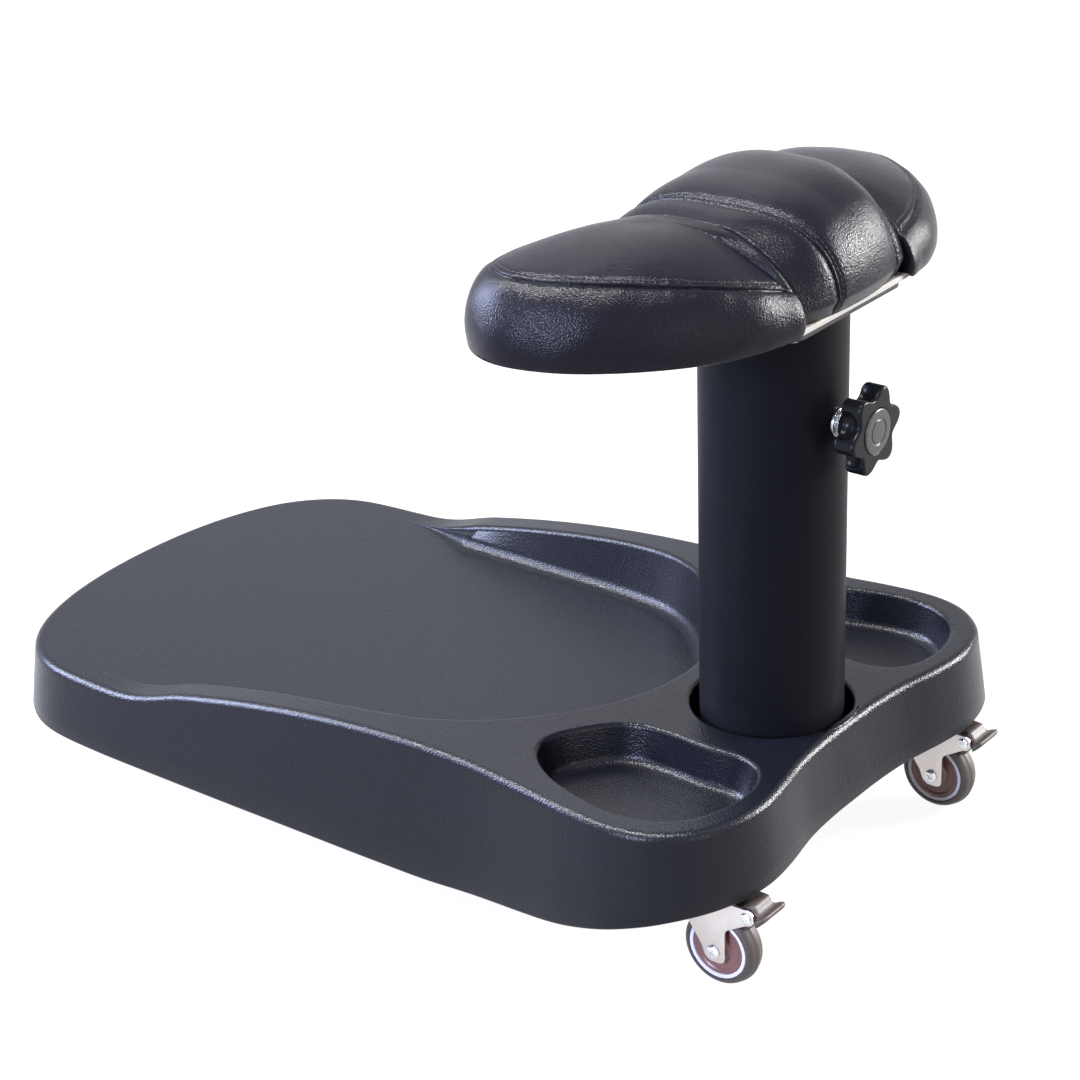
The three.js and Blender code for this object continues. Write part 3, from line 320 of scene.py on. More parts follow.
# %% [markdown]
# The leather is a dark, faintly blue hide with a pressed pebble grain and a dull polish. The column's paint
# is smoother than the powder coat. Plastics and rubber share one function, because they differ only in
# tone, gloss and the size of their fine texture.

# %% Leather, plastics and rubber
def hide():
    material = finish("grained_leather", (0.004, 0.004, 0.006), 0.26, specular=0.13)
    cells = texture(material, "ShaderNodeTexVoronoi", 860.0, feature="SMOOTH_F1", smoothness=0.3)
    folds = texture(material, "ShaderNodeTexNoise", 95.0, detail=5.0, roughness=0.62)
    relief(material, plus(material, cells, folds, 0.15), 0.00030, 0.9)
    two_tone(material, folds, (0.0025, 0.0025, 0.005), (0.005, 0.0045, 0.008))
    varied_roughness(material, texture(material, "ShaderNodeTexNoise", 38.0, detail=4.0), 0.22, 0.30)
    return material


def moulded_material(name, colour, roughness, specular=0.5, grain=500.0, depth=0.00004, contrast=0.12):
    """A plastic or rubber: one tone that wanders slightly, with a fine grain."""
    material = finish(name, colour, roughness, specular=specular)
    grains = texture(material, "ShaderNodeTexNoise", grain, detail=3.0)
    dark, light = ([c * (1 + k) for c in colour] for k in (-contrast, contrast))
    two_tone(material, texture(material, "ShaderNodeTexNoise", 45.0, detail=3.0), dark, light)
    varied_roughness(material, grains, roughness * 0.88, roughness * 1.12)
    relief(material, grains, depth, 0.6)
    return material


def brushed():
    material = finish("brushed_steel", (0.60, 0.60, 0.61), 0.3, metallic=1.0)
    lines = texture(material, "ShaderNodeTexNoise", 90.0, stretch=(1.0, 1.0, 30.0), detail=4.0)
    varied_roughness(material, lines, 0.24, 0.38)
    relief(material, lines, 0.00002, 0.4)
    return material


leather = hide()
brushed_steel = brushed()
column_paint = moulded_material("column_paint", (0.006, 0.006, 0.0075), 0.42, 0.035, 1100.0, 0.00002)
nylon = moulded_material("guide_nylon", (0.030, 0.030, 0.034), 0.50)
board_finish = moulded_material("board_finish", (0.40, 0.37, 0.34), 0.60, 0.3, 260.0, 0.00005)
thread = moulded_material("stitching_thread", (0.020, 0.020, 0.023), 0.50, 0.25, 2400.0)
gloss_black = moulded_material("gloss_black", (0.005, 0.005, 0.006), 0.28, 0.10, 300.0, 0.00001)
satin_black = moulded_material("satin_black", (0.018, 0.018, 0.019), 0.30, 0.5, 900.0, 0.00002)
tyre_rubber = moulded_material("tyre_rubber", (0.070, 0.055, 0.048), 0.50, 0.4, 700.0, 0.00006)
pale_ring = moulded_material("pale_ring", (0.82, 0.78, 0.88), 0.35, 0.4, 500.0, 0.00002, 0.05)
hub_plastic = moulded_material("hub_plastic", (0.19, 0.088, 0.076), 0.34)
pedal_plastic = moulded_material("pedal_plastic", (0.046, 0.033, 0.030), 0.50)
print("finishes", [m.name for m in bpy.data.materials])

# %% [markdown]
# A piece is a mesh whose place is already in its points. It rides on a body of the frame, and may stand
# for one or more of the plain solids, which are then hidden.

# %% Mesh helpers
def new_piece(name, points, faces, material, sharp_degrees=35.0):
    mesh = bpy.data.meshes.new(name)
    mesh.from_pydata([tuple(p) for p in points], [], [tuple(int(i) for i in f) for f in faces])
    mesh.validate()
    shaped = bmesh.new()
    shaped.from_mesh(mesh)
    bmesh.ops.remove_doubles(shaped, verts=shaped.verts, dist=1e-7)
    bmesh.ops.recalc_face_normals(shaped, faces=shaped.faces)
    shaped.to_mesh(mesh)
    shaped.free()
    return dress(name, mesh, material, sharp_degrees)


def dress(name, mesh, material, sharp_degrees=35.0):
    mesh.materials.clear()
    mesh.materials.append(material)
    mesh.shade_smooth()
    mesh.set_sharp_from_angle(angle=math.radians(sharp_degrees))
    piece = bpy.data.objects.new(name, mesh)
    bpy.context.scene.collection.objects.link(piece)
    return piece


def applied(piece):
    """The piece with its modifiers made part of its mesh."""
    bpy.context.view_layer.update()
    result = bpy.data.meshes.new_from_object(piece.evaluated_get(bpy.context.evaluated_depsgraph_get()))
    result.name = piece.name
    old = piece.data
    piece.modifiers.clear()
    piece.data = result
    if old.users == 0:
        bpy.data.meshes.remove(old)
    return piece


def softened(piece, width, segments=3, degrees=30.0):
    """Rounded edges, as wide as width, and clean shading across them."""
    bevel = piece.modifiers.new("edges", "BEVEL")
    bevel.width, bevel.segments = width, segments
    bevel.limit_method, bevel.angle_limit = "ANGLE", math.radians(degrees)
    bevel.harden_normals = False
    applied(piece)
    piece.data.shade_smooth()
    piece.data.set_sharp_from_angle(angle=math.radians(45.0))
    return piece


def settle(piece, body, slot, *nodes):
    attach(piece, body)
    if nodes:
        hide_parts(*nodes)
    triangles = sum(len(f.vertices) - 2 for f in piece.data.polygons)
    print(f"{piece.name}: {triangles} triangles on {body}")
    return piece


def bridged(rings, closed_rings=True):
    """Quads between rings of equal length; the points are numbered ring by ring."""
    count = len(rings[0])
    steps = count if closed_rings else count - 1
    faces = []
    for j in range(len(rings) - 1):
        for i in range(steps):
            k = (i + 1) % count
            faces.append((j * count + i, j * count + k, (j + 1) * count + k, (j + 1) * count + i))
    return faces


def rounded(profile, radius, steps=5):
    """A profile's corners turned into arcs of the radius, less where a side is short."""
    profile = [np.array(p, float) for p in profile]
    result = [profile[0]]
    for before, here, after in zip(profile, profile[1:], profile[2:]):
        a, b = before - here, after - here
        la, lb = np.linalg.norm(a), np.linalg.norm(b)
        a, b = a / la, b / lb
        angle = math.acos(float(np.clip(a @ b, -1, 1)))
        if angle > math.radians(170):
            result.append(here)
            continue
        run = min(radius / math.tan(angle / 2), 0.45 * la, 0.45 * lb)
        start, end = here + a * run, here + b * run
        for t in np.linspace(0, 1, steps + 1):
            result.append((1 - t) ** 2 * start + 2 * t * (1 - t) * here + t ** 2 * end)
    result.append(profile[-1])
    return result


def revolve(name, profile, material, origin=(0, 0, 0), axis="Z", segments=128, sharp_degrees=40.0):
    """A profile of (radius, distance along the axis) spun into a closed body."""
    points, rings = [], []
    for radius, along in profile:
        angles = np.arange(segments) * 2 * math.pi / segments
        c, s = max(radius, 1e-6) * np.cos(angles), max(radius, 1e-6) * np.sin(angles)
        h = np.full(segments, along)
        place = {"Z": (c, s, h), "X": (h, c, s), "Y": (s, h, c)}[axis]
        rings.append(np.stack(place, axis=1) + np.array(origin))
    if abs(profile[0][0] - profile[-1][0]) + abs(profile[0][1] - profile[-1][1]) < 1e-9:
        rings = rings[:-1]
        rings.append(rings[0])
    points = np.concatenate(rings)
    faces = bridged(rings)
    for ring, start in ((0, 0), (len(rings) - 1, (len(rings) - 1) * segments)):
        if profile[ring][0] < 1e-5:
            faces.append(tuple(range(start, start + segments)))
    return new_piece(name, points, faces, material, sharp_degrees)


# %% [markdown]
# The tray's outline is a closed spline through a few points, given as shares of its reach to the spa
# end, its reach past the column and half its width. It is sampled finely, evened out and slightly
# smoothed, and carries its outward normals for the rings that follow it.

# %% Outline curves
outline_spacing, outline_smoothing = 0.0032, 0.006


def spline(points, steps=24):
    """A closed centripetal Catmull-Rom curve."""
    p = np.array(points, float)
    sampled = []
    for i in range(len(p)):
        a, b, c, d = p[i - 1], p[i], p[(i + 1) % len(p)], p[(i + 2) % len(p)]
        ab, bc, cd = (math.sqrt(np.linalg.norm(v)) for v in (b - a, c - b, d - c))
        start = ((b - a) / ab - (c - a) / (ab + bc) + (c - b) / bc) * bc
        end = ((c - b) / bc - (d - b) / (bc + cd) + (d - c) / cd) * bc
        for t in np.arange(steps) / steps:
            h = 2 * t ** 3 - 3 * t ** 2
            sampled.append((h + 1) * b + (t ** 3 - 2 * t ** 2 + t) * start - h * c + (t ** 3 - t ** 2) * end)
    return np.array(sampled)


def even(line, spacing):
    """The same closed line with evenly spaced points."""
    closed = np.vstack([line, line[:1]])
    run = np.concatenate([[0], np.cumsum(np.linalg.norm(np.diff(closed, axis=0), axis=1))])
    count = max(int(run[-1] / spacing), 12)
    at = np.arange(count) * run[-1] / count
    return np.stack([np.interp(at, run, closed[:, k]) for k in range(line.shape[1])], axis=1)


def smoothed_open(line, rounds=6):
    """An open line whose inner points are drawn towards their neighbours."""
    line = np.array(line)
    for _ in range(rounds):
        line[1:-1] = line[1:-1] / 2 + (line[:-2] + line[2:]) / 4
    return line


def smoothed(line, width, spacing):
    """A closed line with ripples shorter than width taken out."""
    waves = np.fft.fftfreq(len(line))
    damp = np.exp(-2 * (math.pi * waves * width / spacing) ** 2)
    return np.stack([np.fft.ifft(np.fft.fft(line[:, k]) * damp).real for k in range(line.shape[1])], axis=1)


def normals_of(line):
    """Outward normals of an anticlockwise closed line."""
    along = np.roll(line, -1, axis=0) - np.roll(line, 1, axis=0)
    along /= np.linalg.norm(along, axis=1)[:, None]
    return np.stack([along[:, 1], -along[:, 0]], axis=1)


def outline(points, spacing=outline_spacing, smoothing=outline_smoothing):
    line = even(spline(points), spacing)
    return smoothed(line, smoothing, spacing)


def mirrored(half):
    """The half outline (y >= 0, from the spa end to the column end) completed on the other side."""
    inner = half[1:-1]
    return [half[0], *[(x, -y) for x, y in inner], half[-1], *inner[::-1]]


spa_reach, front_reach, tray_half_width = 0.676, 0.0845, 0.228
tray_outline_shares = [
    (-1, 0), (-0.995, 0.25), (-0.98, 0.47), (-0.952, 0.67), (-0.915, 0.8), (-0.865, 0.885),
    (-0.77, 0.92), (-0.6, 0.919), (-0.4, 0.915), (-0.2, 0.924), (-0.11, 0.957), (-0.04, 0.99),
    (0.15, 1), (0.5, 0.966), (0.8, 0.87), (0.94, 0.76), (1, 0.63), (0.965, 0.49), (0.87, 0.31),
    (0.83, 0.14), (0.826, 0),
]
tray_line = outline(mirrored([
    (x * (spa_reach if x < 0 else front_reach), y * tray_half_width) for x, y in tray_outline_shares
]))
print("tray outline", len(tray_line), "points")

# %% [markdown]
# The rim stands high round the column and sweeps down until it dies out in the floor at the spa end. The
# lower edge of the skirt rises over the casters at the column end. Both are plain functions of x.

# %% Heights of the rim and of the skirt
floor_height, rim_rise, rim_blend = 0.096, 0.050, 0.007
rise_end, rise_run_out = -0.150, 0.181
skirt_draft_share = 0.115
skirt_x = [-0.225, -0.165, -0.120, -0.090, -0.056, -0.023, 0.009, 0.034, 0.055, 0.072, 0.085]
skirt_z = [0.038, 0.0386, 0.0432, 0.0465, 0.0505, 0.0565, 0.066, 0.0745, 0.0805, 0.0835, 0.084]
fade_end, fade_length = -0.535, 0.110
edge_radius = 0.0070


def ease(t):
    t = np.clip(t, 0, 1)
    return t * t * (3 - 2 * t)


def rim_height(x):
    t = np.maximum((rise_end - x) / (spa_reach + rise_end - rise_run_out), 0)
    rise = rim_rise * (1 - t * t)
    rise = (rise + np.hypot(rise, rim_blend)) / 2
    return floor_height + rise * ease((x - fade_end) / fade_length)


def skirt_height(x):
    return np.interp(x, skirt_x, skirt_z)


plateau = float(rim_height(np.array(0.0)))
print("plateau at", round(plateau, 4))

# %% [markdown]
# The recess and the two tool pockets are pressed into the top with a rounded lip, a drafted wall and a
# rounded foot. Rings that follow each outline make those bands as clean quads. Where the rim dies out,
# the band shrinks with it.

# %% Recess and pockets
flat_ring = 0.0015
recess_front, recess_half_width = 0.077, 0.186
recess_shares = [
    (1.08, 0), (1.08, 0.7), (1.067, 1.3), (0.977, 1.34), (0.887, 1.16), (0.797, 1.03), (0.681, 1),
    (0.48, 0.992), (0.289, 0.978), (0.208, 0.93), (0.141, 0.815), (0.08, 0.63), (0.0386, 0.45),
    (0.0103, 0.23), (0, 0),
]
recess_line = outline(mirrored([
    (-(recess_front + (spa_reach - recess_front) * x), recess_half_width * y) for x, y in recess_shares
]))
pocket_shares = [
    (-1, -0.1), (-0.97, 0.2), (-0.84, 0.5), (-0.62, 0.84), (-0.4, 0.97), (-0.1, 0.99), (0.25, 0.95),
    (0.6, 0.96), (0.82, 0.84), (0.96, 0.55), (1, 0.05), (0.88, -0.52), (0.68, -0.83), (0.42, -0.98),
    (0.12, -1), (-0.24, -0.9), (-0.56, -0.74), (-0.86, -0.45),
]
pocket_length, pocket_front, pocket_inner, pocket_outer, pocket_depth = 0.175, 0.067, 0.084, 0.210, 0.029
pocket_points = [
    (pocket_front - pocket_length / 2 + x * pocket_length / 2,
     -(pocket_inner + pocket_outer) / 2 + y * (pocket_outer - pocket_inner) / 2) for x, y in pocket_shares
]
left_pocket = outline(pocket_points[::-1], 0.0025, 0.004)
right_pocket = outline([(x, -y) for x, y in pocket_points], 0.0025, 0.004)


def band(line, foot_height, lip_radius, foot_radius, draft, steps=7):
    """Rings from the lip (first) down to the foot (last) along an outline, with a flat ring at each end."""
    normal = normals_of(line)
    top = rim_height(line[:, 0])
    share = np.minimum(1.0, (top - foot_height) / (lip_radius + foot_radius))
    before = line + normal * flat_ring
    rings = [np.column_stack([before, rim_height(before[:, 0])])]
    for angle in np.linspace(math.pi / 2, 0, steps):
        inset = share * lip_radius * math.cos(angle)
        height = top - share * lip_radius * (1 - math.sin(angle))
        rings.append(np.column_stack([line - normal * inset[:, None], height]))
    for angle in np.linspace(math.pi / 2, 0, steps):
        inset = share * (lip_radius + draft + foot_radius * (1 - math.sin(angle)))
        height = foot_height + share * foot_radius * (1 - math.cos(angle))
        rings.append(np.column_stack([line - normal * inset[:, None], height]))
    after = line - normal * (inset[:, None] + flat_ring)
    rings.append(np.column_stack([after, np.full(len(line), foot_height)]))
    return rings


recess_bands = band(recess_line, floor_height, 0.0048, 0.011, 0.007)
pocket_bands = [band(line, plateau - pocket_depth, 0.0042, 0.008, 0.006)
                for line in (left_pocket, right_pocket)]
print("band rings", len(recess_bands), "recess points", len(recess_line))

# %% [markdown]
# Between those bands the top is a sheet whose height depends only on x. A constrained triangulation
# fills it: it keeps every given edge, so the sheet meets the lips, the column hole and the outer fillet
# point for point. A grid of points inside keeps its triangles small. The finished skin is one open sheet,
# and Solidify gives it the wall of the moulding.

# %% Moulded tray
column_hole, hole_lip, tray_wall, sheet_grid = 0.062, 0.0035, 0.004, 0.010


class Skin:
    """Collects points and faces; equal points are merged at the end."""

    def __init__(self):
        self.points, self.faces = [], []

    def add(self, points, faces):
        start = len(self.points)
        self.points.extend(np.asarray(points).tolist())
        self.faces.extend([tuple(int(i) + start for i in f) for f in faces])

    def rings(self, rings, closed_rings=True):
        self.add(np.concatenate(rings), bridged(rings, closed_rings))

    def fill(self, loops, keep, sheet_height):
        """Triangulates between loops of 3-D points and keeps the triangles whose middle passes the test."""
        flat, edges, heights = [], [], []
        for loop, closed in loops:
            start = len(flat)
            flat.extend(Vector((p[0], p[1])) for p in loop)
            heights.extend(p[2] for p in loop)
            count = len(loop)
            edges.extend((start + i, start + (i + 1) % count) for i in range(count if closed else count - 1))
        drawn = np.array([tuple(p) for p in flat])
        low, high = drawn.min(axis=0), drawn.max(axis=0)
        for x in np.arange(low[0], high[0], sheet_grid):
            for y in np.arange(low[1], high[1], sheet_grid):
                if np.hypot(drawn[:, 0] - x, drawn[:, 1] - y).min() > 0.45 * sheet_grid and keep((x, y)):
                    flat.append(Vector((x, y)))
                    heights.append(sheet_height(x, y))
        verts, _, faces, source, _, _ = geometry.delaunay_2d_cdt(flat, edges, [], 0, 1e-7)
        z = [heights[s[0]] if s else float(rim_height(v.x)) for v, s in zip(verts, source)]
        kept = [f for f in faces if keep(sum((verts[i] for i in f), Vector((0, 0))) / len(f))]
        self.add([(v.x, v.y, h) for v, h in zip(verts, z)], kept)


def inside(loop):
    """A test for points inside a closed loop."""
    x, y = np.asarray(loop)[:, 0], np.asarray(loop)[:, 1]
    x2, y2 = np.roll(x, -1), np.roll(y, -1)

    def test(p):
        crossing = (y > p[1]) != (y2 > p[1])
        with np.errstate(divide="ignore", invalid="ignore"):
            at = x + (p[1] - y) / (y2 - y) * (x2 - x)
        return bool(np.count_nonzero(crossing & (p[0] < at)) % 2)
    return test


def ring_at(line, outward, height):
    outward = np.broadcast_to(outward, len(line))
    return np.column_stack([line + normals_of(line) * outward[:, None], np.broadcast_to(height, len(line))])


tray = Skin()
top = rim_height(tray_line[:, 0])
low = smoothed(skirt_height(tray_line[:, :1]), 0.014, outline_spacing)[:, 0]
flare = skirt_draft_share * (top - low)
flat_start = tray_line - normals_of(tray_line) * (edge_radius + flat_ring)
outer_rings = [np.column_stack([flat_start, rim_height(flat_start[:, 0])])]
for angle in np.linspace(math.pi / 2, 0, 9):
    outer_rings.append(ring_at(tray_line, -edge_radius * (1 - math.cos(angle)),
                               top - edge_radius * (1 - math.sin(angle))))
foot_round = 0.002
for share in (0.25, 0.5, 0.75):
    height = (top - edge_radius) * (1 - share) + (low + foot_round) * share
    outer_rings.append(ring_at(tray_line, flare * share, height))
for angle in np.linspace(0, math.pi / 2, 4):
    outer_rings.append(ring_at(tray_line, flare - foot_round * (1 - math.cos(angle)),
                               low + foot_round * (1 - math.sin(angle))))
tray.rings(outer_rings)

kept = [i for i in range(len(recess_line)) if recess_line[i, 0] > fade_end]
breaks = [k for k in range(len(kept)) if kept[k] - kept[k - 1] not in (1,)]
start = breaks[-1] if len(breaks) > 1 or kept[0] != 0 else 0
kept = kept[start:] + kept[:start]
open_bands = [ring[kept] for ring in recess_bands]
tray.rings(open_bands, closed_rings=False)

hole_angles = np.arange(160) * 2 * math.pi / 160
hole_circle = np.column_stack([np.cos(hole_angles), np.sin(hole_angles)])
hole_rings = [(column_hole + hole_lip * (1 - math.cos(a)), plateau - hole_lip * (1 - math.sin(a)))
              for a in np.linspace(math.pi / 2, 0, 6)]
hole_rings.append((column_hole, plateau - 0.020))
hole_rings.insert(0, (column_hole + hole_lip + flat_ring, plateau))
hole_loops = [np.column_stack([hole_circle * r, np.full(160, z)]) for r, z in hole_rings]
tray.rings(hole_loops)

band_loop = np.concatenate([open_bands[0], open_bands[-1][::-1]])
in_band, in_hole, in_recess = inside(band_loop), inside(hole_loops[0]), inside(recess_bands[-1])
in_pockets = [inside(rings[0]) for rings in pocket_bands]
in_tray = inside(outer_rings[0])
tray.fill(
    [(outer_rings[0], True), (band_loop, True), (hole_loops[0], True), *[(r[0], True) for r in pocket_bands]],
    lambda p: in_tray(p) and not in_band(p) and not in_hole(p) and not any(test(p) for test in in_pockets),
    lambda x, y: floor_height if in_recess((x, y)) else float(rim_height(x)),
)
for rings in pocket_bands:
    tray.rings(rings)
    foot = inside(rings[-1])
    tray.fill([(rings[-1], True)], foot, lambda x, y: plateau - pocket_depth)

tray_points = np.array(tray.points) + np.array([column_x, 0, 0])
base_tray = new_piece("moulded_tray", tray_points, tray.faces, moulding, 60.0)
wall = base_tray.modifiers.new("wall", "SOLIDIFY")
wall.thickness, wall.offset = tray_wall, -1.0
wall.use_even_offset = False
applied(base_tray)
open_edges = bmesh.new()
open_edges.from_mesh(base_tray.data)
print("open edges of the tray", sum(1 for e in open_edges.edges if len(e.link_faces) != 2))
open_edges.free()
settle(base_tray, "base", "tray_moulding", "base_tray")

# %% [markdown]
# Many pieces are plain turned parts: the column tube with its foot flange, the nylon bush on its rim, the
# sliding post and the clamp's insert. A half profile is drawn as corner points, its corners are rounded
# as a lathe tool would leave them, and it is spun. Heights come from the solids' boxes, and the radii are
# given.

# %% Column, bush and post
def span(node):
    """Lowest and highest z of a node."""
    low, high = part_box(node)
    return low.z, high.z


def ring_profile(outer, inner, bottom, top, radius):
    """The closed half section of a plain ring or tube."""
    return rounded([
        ((outer + inner) / 2, bottom), (outer, bottom), (outer, top), (inner, top), (inner, bottom),
        ((outer + inner) / 2, bottom),
    ], radius)


axis_foot = (column_x, 0, 0)
tube_radius, tube_wall, tube_edge = 0.055, 0.003, 0.0009
flange_radius, flange_bore, flange_thickness = 0.066, 0.040, 0.005
column_low, column_high = span("outer_column")
column = revolve("column_tube", rounded([
    ((flange_radius + flange_bore) / 2, column_low), (flange_radius, column_low),
    (flange_radius, column_low + flange_thickness), (tube_radius, column_low + flange_thickness),
    (tube_radius, column_high), (tube_radius - tube_wall, column_high),
    (tube_radius - tube_wall, column_low + flange_thickness), (flange_bore, column_low + flange_thickness),
    (flange_bore, column_low), ((flange_radius + flange_bore) / 2, column_low),
], tube_edge), column_paint, axis_foot, segments=192)
settle(column, "base", "column_paint", "outer_column")

post_radius, post_wall = 0.050, 0.003
post_low, post_high = span("inner_post")
post = revolve("sliding_post",
               ring_profile(post_radius, post_radius - post_wall, post_low, post_high, tube_edge),
               brushed_steel, axis_foot, segments=160)
settle(post, "carrier", "post_steel", "inner_post")

bush_flange, fit = 0.0014, 0.0003
bush_low, bush_high = span("top_bush")
bush_bore = post_radius + fit
bush = revolve("top_guide_bush", rounded([
    ((tube_radius + bush_bore) / 2, bush_high), (bush_bore, bush_high), (bush_bore, bush_low),
    (tube_radius - tube_wall - fit, bush_low), (tube_radius - tube_wall - fit, bush_high - bush_flange),
    (tube_radius, bush_high - bush_flange), (tube_radius, bush_high),
    ((tube_radius + bush_bore) / 2, bush_high),
], 0.0004), nylon, axis_foot, segments=160)
settle(bush, "base", "guide_nylon", "top_bush")

# %% [markdown]
# The seat plate and the board are cut from flat stock, so their look is in the edges. The plate's solid is
# copied, its loose triangles are merged and its edges are broken with a fine bevel. The board gets a
# finer outline than the solid, because its pale edge shows under the middle cushion.

# %% Seat plate
def refined(node, name, material, width, segments=2):
    """A bevelled copy of a solid: merged, its flat faces made whole, its sharp edges broken."""
    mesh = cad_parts[node].data.copy()
    mesh.name = name
    shaped = bmesh.new()
    shaped.from_mesh(mesh)
    bmesh.ops.remove_doubles(shaped, verts=shaped.verts, dist=2e-6)
    bmesh.ops.dissolve_limit(shaped, angle_limit=math.radians(1.0), verts=shaped.verts, edges=shaped.edges)
    bmesh.ops.recalc_face_normals(shaped, faces=shaped.faces)
    shaped.to_mesh(mesh)
    shaped.free()
    return softened(dress(name, mesh, material), width, segments)


seat_plate = refined("seat_plate", "seat_plate_painted", coat, 0.0007)
settle(seat_plate, "carrier", "frame_paint", "seat_plate")

# %% [markdown]
# The crescent's outline is one curve of named shares, the same that shapes the solids. A wing ends in a
# straight inner wall beside the middle cushion, and the other wing has the same plan, mirrored.

# %% Crescent outline and board
cushion_front, cushion_back, crest_setback = 0.077, 0.110, 0.012
wing_sweep, wing_tip, wing_root = 0.128, 0.228, 0.0707
wing_shares = [
    (0.93, 0), (0.92, 0.1), (0.85, 0.26), (0.6, 0.51), (0.12, 0.77), (-0.27, 0.95), (-0.63, 1), (-0.9, 0.88),
    (-1, 0.68), (-0.95, 0.38), (-0.87, 0.16), (-0.81, 0),
]
wing_points = [(x * (cushion_front if x > 0 else wing_sweep), wing_root + y * (wing_tip - wing_root))
               for x, y in wing_shares]
board_inset, board_edge = 0.005, 0.0006
board_low, board_high = span("cushion_board")

crescent = outline(wing_points + [(x, -y) for x, y in wing_points[::-1]], 0.003, 0.002)
board_line = crescent - normals_of(crescent) * board_inset


def plate_between(name, line, bottom, top, edge, material):
    """A flat plate with the given outline and rounded edges."""
    rings = []
    for height, side in ((bottom, -1), (top, 1)):
        turn = np.linspace(0, math.pi / 2, 4)
        arc = [ring_at(line, -edge * (1 - math.cos(a)), height - side * edge * (1 - math.sin(a)))
               for a in turn]
        rings += arc[::-1] if side < 0 else arc
    count = len(line)
    faces = bridged(rings) + [tuple(range(count)), tuple(range((len(rings) - 1) * count, len(rings) * count))]
    return new_piece(name, np.concatenate(rings) + np.array(axis_foot), faces, material, 30.0)


board = plate_between("crescent_board", board_line, board_low, board_high, board_edge, board_finish)
settle(board, "carrier", "board_wood", "cushion_board")
print("crescent outline", len(crescent), "points")

# %% [markdown]
# Leather over foam swells between its seams. Each cushion is first drawn as a smooth form in rings. Then a
# coarse copy of it is blown up gently as cloth, held along its seams, its foot and its inner wall, and
# the movement is carried over to the fine mesh. Seams, puckers and stitches come last, because a
# simulation would blur them.

# %% Cloth swelling
cushion_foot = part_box("cushion_centre")[0].z
swell_cap, sim_frames = 0.006, 20


def swollen(rings, held, coarse_ring, coarse_point, closed_rings, caps):
    """The rings moved as cloth under pressure moves them. held marks the points that stay."""
    grid = np.array(rings)
    ring_index = np.unique(np.append(np.arange(0, grid.shape[0], coarse_ring), grid.shape[0] - 1))
    point_index = np.arange(0, grid.shape[1], coarse_point)
    if not closed_rings:
        point_index = np.unique(np.append(point_index, grid.shape[1] - 1))
    coarse = grid[np.ix_(ring_index, point_index)]
    fixed = np.asarray(held)[np.ix_(ring_index, point_index)]
    count = coarse.shape[1]
    faces = bridged(list(coarse), closed_rings)
    for cap in caps:
        row = ring_index.tolist().index(cap % grid.shape[0])
        faces.append(tuple(range(row * count, (row + 1) * count)))
    mesh = bpy.data.meshes.new("cloth_form")
    mesh.from_pydata([tuple(p) for p in coarse.reshape(-1, 3)], [], faces)
    shaped = bmesh.new()
    shaped.from_mesh(mesh)
    bmesh.ops.recalc_face_normals(shaped, faces=shaped.faces)
    bmesh.ops.triangulate(shaped, faces=[f for f in shaped.faces if len(f.verts) > 4])
    shaped.to_mesh(mesh)
    shaped.free()
    form = bpy.data.objects.new("cloth_form", mesh)
    bpy.context.scene.collection.objects.link(form)
    pins = form.vertex_groups.new(name="held")
    pins.add([int(i) for i in np.flatnonzero(fixed.ravel())], 1.0, "REPLACE")
    cloth = form.modifiers.new("cloth", "CLOTH")
    cloth.settings.quality = 6
    cloth.settings.mass = 0.1
    cloth.settings.tension_stiffness = cloth.settings.compression_stiffness = 0.2
    cloth.settings.shear_stiffness = 0.2
    cloth.settings.bending_stiffness = 0.03
    cloth.settings.use_pressure = True
    cloth.settings.uniform_pressure_force = 4.0
    cloth.settings.effector_weights.gravity = 0.0
    cloth.settings.vertex_group_mass = "held"
    cloth.point_cache.frame_start, cloth.point_cache.frame_end = 1, sim_frames
    for step in range(1, sim_frames + 1):
        bpy.context.scene.frame_set(step)
    result = form.evaluated_get(bpy.context.evaluated_depsgraph_get()).data
    moved = np.array([v.co for v in result.vertices]).reshape(coarse.shape) - coarse
    bpy.context.scene.frame_set(1)
    bpy.data.objects.remove(form)
    length = np.linalg.norm(moved, axis=2, keepdims=True)
    moved *= np.minimum(1, swell_cap / np.maximum(length, 1e-9))
    print("swelling, largest", round(float(length.max()), 4), "mean", round(float(length.mean()), 4))
    if closed_rings:
        moved = np.concatenate([moved, moved[:, :1]], axis=1)
        point_index = np.append(point_index, grid.shape[1])
    along = np.empty((len(ring_index), grid.shape[1], 3))
    for k in range(3):
        for row in range(len(ring_index)):
            along[row, :, k] = np.interp(np.arange(grid.shape[1]), point_index, moved[row, :, k])
    full = np.empty(grid.shape)
    for k in range(3):
        for column_number in range(grid.shape[1]):
            full[:, column_number, k] = np.interp(
                np.arange(grid.shape[0]), ring_index, along[:, column_number, k])
    return grid + calmed(full, grid, closed_rings)


def calmed(field, grid, closed_rings, shortest=0.05):
    """The movement without its short waves, so that the leather swells and does not crumple."""
    field = smoothed_open(field, 30)
    if not closed_rings:
        for row in range(len(field)):
            field[row] = smoothed_open(field[row], 60)
        return field
    length = np.linalg.norm(np.roll(grid, -1, axis=1) - grid, axis=2).sum(axis=1)
    waves = np.abs(np.fft.fftfreq(grid.shape[1], 1 / grid.shape[1]))
    keep = np.exp(-(waves[None, :] / np.maximum(length[:, None] / shortest, 0.2)) ** 2)
    return np.fft.ifft(np.fft.fft(field, axis=1) * keep[:, :, None], axis=1).real


